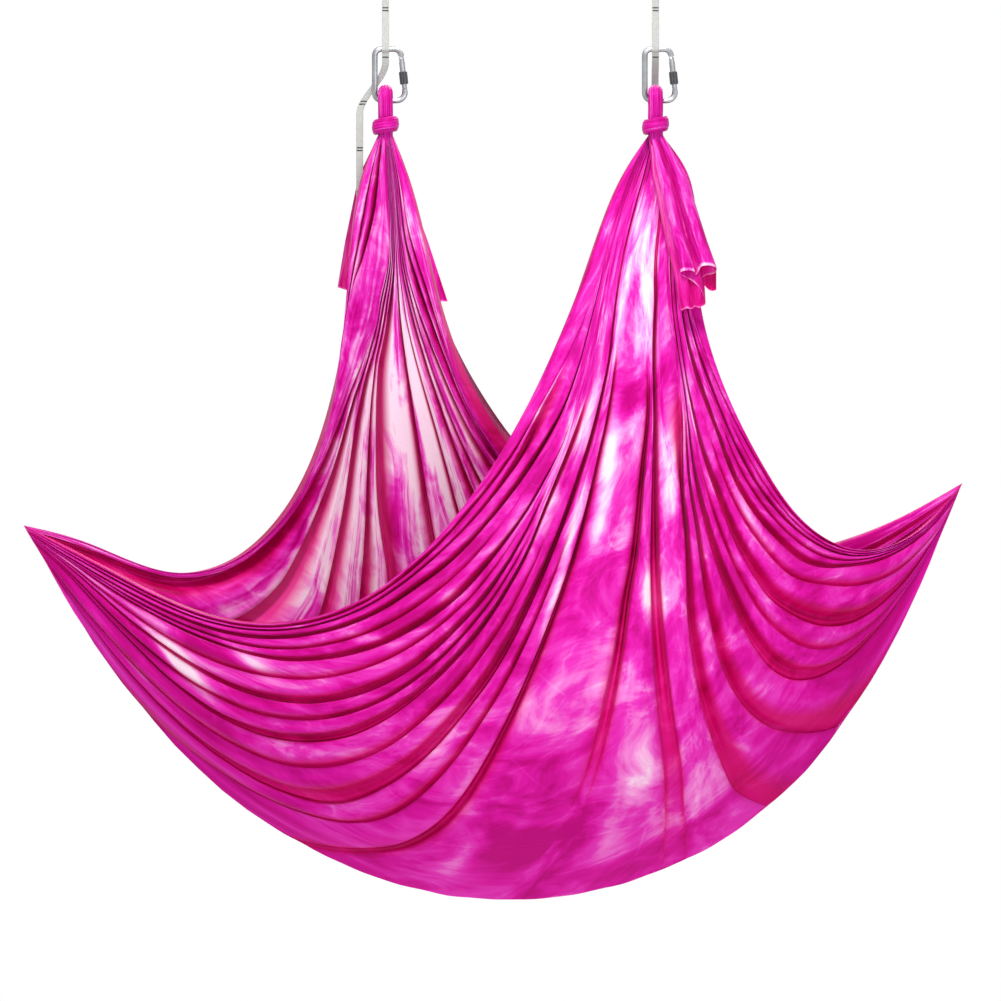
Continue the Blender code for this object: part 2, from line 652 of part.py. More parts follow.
def slab(name, front, back):
    """A closed solid between two grids of points."""
    rows, columns = front.shape[:2]
    points = np.concatenate([front.reshape(-1, 3), back.reshape(-1, 3)])
    size = rows * columns
    faces = []
    for i in range(rows - 1):
        for j in range(columns - 1):
            a = i * columns + j
            quad = (a, a + 1, a + columns + 1, a + columns)
            faces.append(quad)
            faces.append(tuple(size + k for k in reversed(quad)))
    border = [j for j in range(columns)]
    border += [i * columns + columns - 1 for i in range(1, rows)]
    border += [(rows - 1) * columns + j for j in range(columns - 2, -1, -1)]
    border += [i * columns for i in range(rows - 2, 0, -1)]
    for a, b in zip(border, border[1:] + border[:1]):
        faces.append((b, a, size + a, size + b))
    return mesh_from(name, points, faces, CLOTH_SHARP_ANGLE)


def folded(grid, folds, depth, thickness, edge_round, split=0):
    """Front and back of a grid with pleats across it: depth and thickness are values per row."""
    columns = grid.shape[1]
    normals = normals_of(grid)
    if split:
        normals[split - 1] = normals[split]
    across = np.linspace(0, 1, columns)
    wave = np.sin(2 * np.pi * folds * across)
    wave *= np.minimum(1, np.minimum(across, 1 - across) / SELVEDGE_SHARE)
    oval = np.sqrt(np.clip(1 - (2 * across - 1) ** 2, EDGE_THICKNESS_SHARE ** 2, 1))
    half = thickness[:, None] / 2 * (edge_round[:, None] * oval + (1 - edge_round[:, None]))
    shift = depth[:, None] * wave[None, :]
    front = grid + normals * (shift + half)[..., None]
    back = grid + normals * (shift - half)[..., None]
    return front, back


def panel_meshes(name, guides, neck, side):
    """The gathered bundle and the open panel below it. side is -1 towards the viewer, 1 away."""
    columns = np.linspace(0, 1, FOLDS_PER_PANEL * COLUMNS_PER_FOLD + 1)
    gap = (CLEARANCE + CLEARANCE / 2) / DROP
    gather_rows = np.linspace(0, GATHER_END_SHARE - gap, GATHER_ROWS + 1)
    panel_rows = np.linspace(GATHER_END_SHARE, 1, PANEL_ROWS + 1)
    rows = np.concatenate([gather_rows, panel_rows])
    grid = cloth_grid(guides, neck, rows, columns)
    grid[..., 1] += side * (PANEL_THICKNESS + CLEARANCE) / 2 * rows[:, None]

    gathered = np.clip(1 - rows / GATHER_END_SHARE, 0, 1)
    open_share = np.clip((rows - GATHER_END_SHARE) / (1 - GATHER_END_SHARE), 0, 1)
    depth = GATHER_FOLD_DEPTH * (1 - gathered)
    depth += (FOLD_DEPTH - GATHER_FOLD_DEPTH) * np.clip(open_share / FOLD_GROWTH_SHARE, 0, 1)
    depth *= np.clip((1 - open_share) / FOLD_GROWTH_SHARE, 0, 1)
    thickness = np.full(len(rows), PANEL_THICKNESS)
    count = len(gather_rows)
    thickness[:count] = GATHER_END_THICKNESS + (GATHER_THICKNESS - GATHER_END_THICKNESS) * gathered[:count]
    depth[count - 1] = depth[count]
    roundness = PANEL_ROUND_SHARE + (1 - PANEL_ROUND_SHARE) * gathered
    front, back = folded(grid, FOLDS_PER_PANEL, depth, thickness, roundness, count)
    gather = slab(name + "_gather", front[:count], back[:count])
    panel = slab(name + "_panel", front[count:], back[count:])
    return gather, panel


def tail_mesh(name, guides, neck):
    columns = np.linspace(0, 1, TAIL_FOLDS * COLUMNS_PER_FOLD + 1)
    rows = np.linspace(0, 1, TAIL_ROWS + 1)
    grid = cloth_grid(guides, neck, rows, columns)
    growth = np.clip(rows / TAIL_GROWTH_SHARE, 0, 1)
    thickness = BUNDLE_DEPTH + (TAIL_THICKNESS - BUNDLE_DEPTH) * growth
    depth = TAIL_FOLD_DEPTH * growth
    return slab(name, *folded(grid, TAIL_FOLDS, depth, thickness, 1 - rows * TAIL_ROUND_LOSS_SHARE))


def neck_mesh(name):
    """The gathered cloth as a rope over the lower carabiner's basket bow, both legs drawn together."""
    bend = STOCK_RADIUS + CLEARANCE + BUNDLE_DEPTH / 2
    leg = []
    for share in NECK_LEG_SHARES:
        pull = smooth_step(share, NECK_PULL_START_SHARE, NECK_PULL_END_SHARE)
        leg.append((bend + (NECK_SETBACK - bend) * pull, -NECK_LENGTH * share))
    path = [(-y, z) for y, z in reversed(leg)] + arc((0, 0), bend, 180, 0, NECK_STEPS) + leg
    rings = []
    for i, (y, z) in enumerate(path):
        before = path[max(i - 1, 0)]
        after = path[min(i + 1, len(path) - 1)]
        along = Vector((after[0] - before[0], after[1] - before[1])).normalized()
        if i in (0, len(path) - 1):
            along = Vector((0, 1 if i == 0 else -1))
        ring = []
        for j in range(BUNDLE_SIDES):
            angle = 2 * math.pi * j / BUNDLE_SIDES
            reach = BUNDLE_DEPTH / 2 * math.sin(angle)
            ring.append((BUNDLE_WIDTH / 2 * math.cos(angle), y - along.y * reach, z + along.x * reach))
        rings.append(ring)
    return loft(name, rings, sharp_angle=CLOTH_SHARP_ANGLE)


def choke_mesh(name):
    """The turn of cloth that chokes the neck: a flattened rope round both legs."""
    half_x = BUNDLE_WIDTH / 2 + CLEARANCE + CHOKE_THICKNESS / 2
    half_y = BUNDLE_DEPTH / 2 + CLEARANCE + CHOKE_THICKNESS / 2
    rings = []
    for i in range(CHOKE_STEPS):
        angle = 2 * math.pi * (i + 0.5) / CHOKE_STEPS
        out = Vector((math.cos(angle), math.sin(angle)))
        centre = Vector((half_x * out.x, half_y * out.y + math.copysign(NECK_SETBACK, out.y)))
        tilt = CHOKE_TILT * out.x
        ring = []
        for j in range(CHOKE_SIDES):
            turn = 2 * math.pi * (j + 0.5) / CHOKE_SIDES
            reach = CHOKE_THICKNESS / 2 * math.cos(turn)
            ring.append((centre.x + out.x * reach, centre.y + out.y * reach,
                         tilt + CHOKE_HEIGHT / 2 * math.sin(turn) - CHOKE_DROP))
        rings.append(ring)
    return loft(name, rings, closed=True, sharp_angle=CLOTH_SHARP_ANGLE)


def build():
    clear_scene()
    steel = material("satin_steel", (0.62, 0.63, 0.65), 0.32, 1.0)
    dark = material("black_anodised", (0.03, 0.03, 0.035), 0.40, 0.6)
    webbing = material("pale_webbing", (0.72, 0.72, 0.72), 0.85)
    cloth = material("magenta_tricot", (0.68, 0.03, 0.42), 0.55)

    meshes = {
        "body": carabiner_body_mesh(),
        "gate": gate_mesh(),
        "hinge_pin": crosswise_rod("hinge_pin", 0, HINGE_PIN_DIAMETER, GATE_DIAMETER - 2 * CLEARANCE),
        "latch_pin": crosswise_rod("latch_pin", LATCH_Z, LATCH_PIN_DIAMETER, GATE_DIAMETER - 4 * CLEARANCE),
        "spring": spring_mesh(),
        "push_rod": push_rod_mesh(),
        "sleeve": sleeve_mesh(),
    }
    finishes = (steel, dark)
    swing = empty("swing_axis", (0, 0, SWING_Z))
    hammock = empty("hammock_axis", (0, 0, LOWER_BOW_Z - SWING_Z), swing)
    cloth_place = empty("cloth_place", (0, 0, -LOWER_BOW_Z), hammock)
    setbacks = {"left": LEFT_TAIL_SETBACK, "right": RIGHT_TAIL_SETBACK}
    sidesteps = {"left": LEFT_TAIL_SIDESTEP, "right": 0.0}
    for side, x in SIDES.items():
        add_carabiner("upper_" + side, None, (x, 0, UPPER_BOW_Z), meshes, finishes)
        add_carabiner("lower_" + side, hammock, (x, 0, 0), meshes, finishes)
        strap = strap_mesh(sidesteps[side], setbacks[side])
        mesh_object("daisy_chain_" + side, strap, webbing, swing, (x, 0, 0))
        mesh_object("cloth_neck_" + side, neck_mesh("neck"), cloth, cloth_place, (x, 0, BASKET_Z))
        mesh_object("cloth_choke_" + side, choke_mesh("choke"), cloth, cloth_place, (x, 0, BASKET_Z))

    neck_z = BASKET_Z - NECK_LENGTH - CLEARANCE
    left, right = SIDES["left"], SIDES["right"]
    back_gather, back_panel = panel_meshes("back", BACK_GUIDE_SHARES, (left, -NECK_SETBACK, neck_z), 1)
    front_gather, front_panel = panel_meshes("front", FRONT_GUIDE_SHARES, (right, NECK_SETBACK, neck_z), -1)
    mesh_object("cloth_back_gather", back_gather, cloth, cloth_place)
    mesh_object("cloth_back_panel", back_panel, cloth, cloth_place)
    mesh_object("cloth_front_gather", front_gather, cloth, cloth_place)
    mesh_object("cloth_front_panel", front_panel, cloth, cloth_place)
    left_tail = tail_mesh("left_tail", LEFT_TAIL_SHARES, (left, NECK_SETBACK, neck_z))
    right_tail = tail_mesh("right_tail", RIGHT_TAIL_SHARES, (right, -NECK_SETBACK, neck_z))
    mesh_object("cloth_tail_left", left_tail, cloth, cloth_place)
    mesh_object("cloth_tail_right", right_tail, cloth, cloth_place)


build()
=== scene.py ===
# %% [markdown]
# # An aerial hammock in magenta tie-dyed tricot
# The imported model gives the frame: four carabiners, two daisy-chain straps and the solids that hold the
# cloth's place. This file dresses it: the cloth as thin pleated sheets, the straps as sewn webbing, and
# a finish for every metal part. It starts with the frame and its box.

# %% Load the frame
import math

import bmesh
import bpy
import numpy as np
from mathutils import Matrix, Vector


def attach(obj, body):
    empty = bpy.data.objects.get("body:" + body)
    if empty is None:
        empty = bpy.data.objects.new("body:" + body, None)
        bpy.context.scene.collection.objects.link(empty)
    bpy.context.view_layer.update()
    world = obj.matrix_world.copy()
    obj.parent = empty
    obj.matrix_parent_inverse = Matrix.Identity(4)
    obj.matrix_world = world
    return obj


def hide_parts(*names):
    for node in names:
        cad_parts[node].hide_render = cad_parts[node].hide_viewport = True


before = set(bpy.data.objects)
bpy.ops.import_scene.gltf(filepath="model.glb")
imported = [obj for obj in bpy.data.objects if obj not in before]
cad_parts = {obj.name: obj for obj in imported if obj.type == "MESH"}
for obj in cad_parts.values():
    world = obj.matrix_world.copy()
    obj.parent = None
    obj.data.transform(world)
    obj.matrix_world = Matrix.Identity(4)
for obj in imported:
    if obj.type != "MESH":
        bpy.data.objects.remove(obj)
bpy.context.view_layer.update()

# %% [markdown]
# ## Camera
# The photo is taken level and from far away, so upright lines stay upright and near folds are no larger
# than far ones. A long lens at a good distance gives that. Two millimetres of cloth are one pixel.

# %% Camera
VIEW_WIDTH = 2.002
VIEW_CENTRE = (-0.040, -1.1995)
CAMERA_DISTANCE = 16.0
SENSOR = 36.0

lens_data = bpy.data.cameras.new("camera")
lens_data.sensor_width = SENSOR
lens_data.lens = SENSOR * CAMERA_DISTANCE / VIEW_WIDTH
lens_data.clip_end = 60.0
camera = bpy.data.objects.new("camera", lens_data)
camera.location = (VIEW_CENTRE[0], -CAMERA_DISTANCE, VIEW_CENTRE[1])
camera.rotation_euler = (math.pi / 2, 0.0, 0.0)
bpy.context.scene.collection.objects.link(camera)
bpy.context.scene.camera = camera
print("lens", round(lens_data.lens, 1), "mm")

# %% [markdown]
# ## Small helpers for materials
# A colour is written as the hex value that a paint programme shows. Blender mixes light in linear
# values, so one function turns it. Another adds a node, sets it and links it.

# %% Colour and node helpers
def colour(code):
    values = [int(code[i:i + 2], 16) / 255 for i in (1, 3, 5)]
    linear = [v / 12.92 if v <= 0.04045 else ((v + 0.055) / 1.055) ** 2.4 for v in values]
    return (*linear, 1.0)


def new_material(name):
    made = bpy.data.materials.new(name)
    made.use_nodes = True
    return made, made.node_tree.nodes["Principled BSDF"]


def add(material, kind, links=None, **settings):
    """Add a node. inputs sets its sockets, ramp its colour stops, links feeds its sockets from others."""
    node = material.node_tree.nodes.new(kind)
    for key, value in settings.items():
        if key == "inputs":
            for socket, constant in value.items():
                node.inputs[socket].default_value = constant
        elif key == "ramp":
            stops = node.color_ramp.elements
            while len(stops) < len(value):
                stops.new(0.5)
            for stop, (place, tone) in zip(stops, value):
                stop.position = place
                stop.color = tone
        else:
            setattr(node, key, value)
    for socket, source in (links or {}).items():
        material.node_tree.links.new(source, node.inputs[socket])
    return node


def feed(material, source, shader, socket):
    material.node_tree.links.new(source, shader.inputs[socket])


# %% [markdown]
# ## Stage and light
# The photo's ground is pure white. A pale floor and the sky are white for the camera and for
# reflections, and plain for the light that falls on the cloth, so it isn't washed out. The lamps are
# broad and soft, the key from the upper left in front.

# %% Floor
FLOOR_Z = -2.62
FLOOR_SIZE = 24.0

paper, surface = new_material("pale_paper_floor")
surface.inputs["Base Color"].default_value = colour("#e9e9e9")
surface.inputs["Roughness"].default_value = 0.9
path = add(paper, "ShaderNodeLightPath")
seen = add(paper, "ShaderNodeMath", {0: path.outputs["Is Camera Ray"], 1: path.outputs["Is Glossy Ray"]},
           operation="MAXIMUM")
seen = add(paper, "ShaderNodeMath", {0: seen.outputs[0], 1: path.outputs["Is Transmission Ray"]},
           operation="MAXIMUM")
shine = add(paper, "ShaderNodeEmission", inputs={"Color": (1, 1, 1, 1), "Strength": 1.0})
mix = add(paper, "ShaderNodeMixShader", {0: seen.outputs[0], 1: surface.outputs[0], 2: shine.outputs[0]})
feed(paper, mix.outputs[0], paper.node_tree.nodes["Material Output"], "Surface")

shape = bmesh.new()
bmesh.ops.create_grid(shape, x_segments=1, y_segments=1, size=FLOOR_SIZE / 2)
shape.transform(Matrix.Translation((0, 0, FLOOR_Z)))
mesh = bpy.data.meshes.new("floor")
shape.to_mesh(mesh)
shape.free()
mesh.materials.append(paper)
floor = bpy.data.objects.new("floor", mesh)
bpy.context.scene.collection.objects.link(floor)
print("floor at", FLOOR_Z)

# %% Sky
# Full white where it is seen or reflected, softer as light
WORLD_LIGHT = 0.46

world = bpy.data.worlds.new("studio")
bpy.context.scene.world = world
world.use_nodes = True
sky = world.node_tree.nodes["Background"]
sky.inputs["Color"].default_value = (1, 1, 1, 1)
sight = add(world, "ShaderNodeLightPath")
seen = add(world, "ShaderNodeMath", {0: sight.outputs["Is Camera Ray"], 1: sight.outputs["Is Glossy Ray"]},
           operation="MAXIMUM")
strength = add(world, "ShaderNodeMapRange", {"Value": seen.outputs[0]},
               inputs={"To Min": WORLD_LIGHT, "To Max": 1.0})
feed(world, strength.outputs["Result"], sky, "Strength")
print("sky gives", WORLD_LIGHT, "as light")

# %% Lamps
LAMP_TARGET = (0.0, 0.0, -1.3)
LAMPS = {"key": (1.0, 165, (-0.5, -2.2, 2.3)), "fill": (2.4, 66, (0.9, -3.6, -1.3)),
         "back": (2.0, 40, (0.4, 1.3, 0.8))}

for name, (size, power, place) in LAMPS.items():
    data = bpy.data.lights.new(name, "AREA")
    data.size = size
    data.energy = power
    lamp = bpy.data.objects.new(name, data)
    lamp.location = place
    lamp.rotation_euler = (Vector(LAMP_TARGET) - Vector(place)).to_track_quat("-Z", "Y").to_euler()
    bpy.context.scene.collection.objects.link(lamp)
bpy.context.scene.view_settings.view_transform = "Standard"
print(len(LAMPS), "lamps")

# %% [markdown]
# ## The cloth's main shape
# The hammock is one wide cloth. Its two short ends are gathered and hung, and its two halves meet in the
# fold at the bottom. The guides are the same warp lines as in the frame: each has its place across the
# cloth and points as shares of half the span, half the depth and the drop. Smooth curves run through
# them, first down each guide and then across the guides, so the sheet is curved both ways.

# %% Sizes and guides of the cloth
SPAN = 1.880
DROP = 1.600
POCKET_DEPTH = 0.360
BUNDLE_WIDTH = 0.030
BUNDLE_DEPTH = 0.026
NECK_LENGTH = 0.070
NECK_SETBACK = 0.0145
BASKET_Z = -0.3995
GAP = 0.0003
NECK_Z = BASKET_Z - NECK_LENGTH - GAP
LOWEST_Z = BASKET_Z - DROP
SIDES = {"left": -0.270, "right": 0.270}
CLOTH_WIDTH = 2.8
CLOTH_LENGTH = 4.0

FRONT_GUIDES = [
    (0.00, [(0.221, 0.04, 0.912), (0.145, -0.12, 0.811), (0.000, -0.53, 0.610), (-0.160, -0.83, 0.468),
            (-0.355, -0.94, 0.374), (-0.577, -0.78, 0.349), (-0.879, -0.33, 0.415), (-1.057, 0.00, 0.469)]),
    (0.12, [(0.234, 0.04, 0.912), (0.170, -0.14, 0.811), (0.053, -0.61, 0.610), (-0.089, -0.96, 0.443),
            (-0.287, -1.00, 0.324), (-0.489, -0.83, 0.279), (-0.713, -0.44, 0.279), (-0.879, 0.00, 0.300)]),
    (0.30, [(0.251, 0.04, 0.912), (0.196, -0.14, 0.811), (0.121, -0.64, 0.599), (0.004, -1.00, 0.386),
            (-0.170, -0.92, 0.221), (-0.362, -0.50, 0.130), (-0.540, 0.00, 0.098)]),
    (0.50, [(0.281, 0.04, 0.912), (0.243, -0.13, 0.811), (0.196, -0.67, 0.561), (0.128, -0.99, 0.311),
            (0.055, -0.69, 0.124), (-0.021, 0.00, 0.001)]),
    (0.70, [(0.315, 0.04, 0.912), (0.298, -0.12, 0.811), (0.309, -0.58, 0.574), (0.357, -0.83, 0.361),
            (0.426, -0.58, 0.205), (0.491, 0.00, 0.102)]),
    (0.88, [(0.340, 0.04, 0.912), (0.343, -0.10, 0.811), (0.400, -0.47, 0.611), (0.515, -0.69, 0.461),
            (0.655, -0.47, 0.367), (0.794, 0.00, 0.329)]),
    (1.00, [(0.355, 0.04, 0.912), (0.381, -0.08, 0.786), (0.430, -0.31, 0.649), (0.521, -0.50, 0.539),
            (0.609, -0.53, 0.470), (0.709, -0.39, 0.440), (0.840, -0.17, 0.460), (0.940, 0.00, 0.522)]),
]
BACK_GUIDES = [
    (0.00, [(-0.336, -0.06, 0.909), (-0.368, 0.07, 0.761), (-0.421, 0.47, 0.599), (-0.536, 0.78, 0.470),
            (-0.638, 0.78, 0.422), (-0.760, 0.61, 0.409), (-0.943, 0.22, 0.449), (-1.057, 0.00, 0.469)]),
    (0.12, [(-0.321, -0.06, 0.909), (-0.347, 0.08, 0.749), (-0.387, 0.56, 0.586), (-0.489, 0.92, 0.426),
            (-0.600, 0.83, 0.344), (-0.740, 0.44, 0.305), (-0.879, 0.00, 0.300)]),
    (0.30, [(-0.304, -0.06, 0.909), (-0.311, 0.10, 0.749), (-0.332, 0.64, 0.561), (-0.391, 0.99, 0.324),
            (-0.464, 0.61, 0.174), (-0.540, 0.00, 0.098)]),
    (0.50, [(-0.287, -0.06, 0.909), (-0.268, 0.10, 0.749), (-0.230, 0.64, 0.561), (-0.170, 0.99, 0.311),
            (-0.094, 0.67, 0.124), (-0.021, 0.00, 0.001)]),
    (0.70, [(-0.270, -0.06, 0.909), (-0.226, 0.08, 0.749), (-0.136, 0.53, 0.586), (0.053, 0.92, 0.367),
            (0.281, 0.58, 0.193), (0.491, 0.00, 0.102)]),
    (0.88, [(-0.253, -0.06, 0.909), (-0.191, 0.07, 0.749), (-0.077, 0.44, 0.593), (0.160, 0.78, 0.443),
            (0.479, 0.53, 0.334), (0.794, 0.00, 0.329)]),
    (1.00, [(-0.240, -0.06, 0.909), (-0.170, 0.06, 0.749), (-0.038, 0.39, 0.580), (0.170, 0.67, 0.470),
            (0.421, 0.64, 0.426), (0.668, 0.42, 0.445), (0.798, 0.22, 0.474), (0.940, 0.00, 0.522)]),
]

# %% Smooth curves through the guides
EVEN_COLUMNS = 101


def spline(knots, values, at):
    """A natural cubic spline through rows of values, read at the given places."""
    knots = np.asarray(knots, float)
    values = np.asarray(values, float)
    gaps = np.diff(knots)
    slopes = np.diff(values, axis=0) / gaps[:, None]
    count = len(knots)
    system = np.eye(count)
    right = np.zeros_like(values)
    for i in range(1, count - 1):
        system[i, i - 1:i + 2] = (gaps[i - 1], 2 * (gaps[i - 1] + gaps[i]), gaps[i])
        right[i] = 6 * (slopes[i] - slopes[i - 1])
    bend = np.linalg.solve(system, right)
    place = np.clip(np.searchsorted(knots, at, side="right") - 1, 0, count - 2)
    gap = gaps[place][:, None]
    after = (knots[place + 1] - at)[:, None]
    before = (at - knots[place])[:, None]
    curve = (bend[place] * after ** 3 + bend[place + 1] * before ** 3) / (6 * gap)
    curve += (values[place] / gap - bend[place] * gap / 6) * after
    curve += (values[place + 1] / gap - bend[place + 1] * gap / 6) * before
    return curve


def smooth_curve(points, at):
    points = np.asarray(points, float)
    steps = np.linalg.norm(np.diff(points, axis=0), axis=1)
    knots = np.concatenate([[0.0], np.cumsum(steps)]) / steps.sum()
    return spline(knots, points, at)


def sheet_points(guides, neck, rows, columns):
    """Points of the sheet. columns has one row of places across the cloth for each row down it."""
    half_sizes = np.array([SPAN / 2, POCKET_DEPTH / 2, DROP])
    places = [place for place, _ in guides]
    lines = []
    for place, shares in guides:
        start = np.array(neck) + np.array([(place - 0.5) * BUNDLE_WIDTH, 0, 0])
        points = np.array(shares) * half_sizes + np.array([0, 0, LOWEST_Z])
        lines.append(smooth_curve(np.vstack([start, points]), rows))
    lines = np.array(lines)
    return np.array([spline(places, lines[:, i], columns[i]) for i in range(len(rows))])


def even_sheet(guides, neck, rows):
    """The sheet's points at even places across, for measuring it."""
    return sheet_points(guides, neck, rows, np.tile(np.linspace(0, 1, EVEN_COLUMNS), (len(rows), 1)))


# %% Points of a sheet and the directions square to it
NUDGE = 0.004
# Beside the neck the warp runs straight down, so the directions there are kept level
LEVEL_SHARE = 0.02


def sheet_frame(guides, neck, rows, columns):
    """The sheet's points and, at each, the direction square to it."""
    points = sheet_points(guides, neck, rows, columns)
    across = (sheet_points(guides, neck, rows, columns + NUDGE)
              - sheet_points(guides, neck, rows, columns - NUDGE))
    down = (sheet_points(guides, neck, np.minimum(rows + NUDGE, 1), columns)
            - sheet_points(guides, neck, np.maximum(rows - NUDGE, 0), columns))
    normals = np.cross(across, down)
    normals[rows < LEVEL_SHARE, :, 2] = 0
    return points, normals / np.linalg.norm(normals, axis=2)[..., None]


print("guides:", len(FRONT_GUIDES), "in front,", len(BACK_GUIDES), "behind")


# %% [markdown]
# ## Pleats
# A gathered cloth hangs in pleats: flat faces with dark recesses between them. A noise cannot give these,
# because each pleat runs on its own line from the gather to a tip or to the bottom fold. So each recess
# has a path, a list of pairs of a place down the cloth and a place across it. Where a recess leans, the
# face on one side hangs over it with a crisp edge and the face on the other side rises out of it slowly.
# On the left they lean one way and on the right the other, and in the middle the pleats are square.

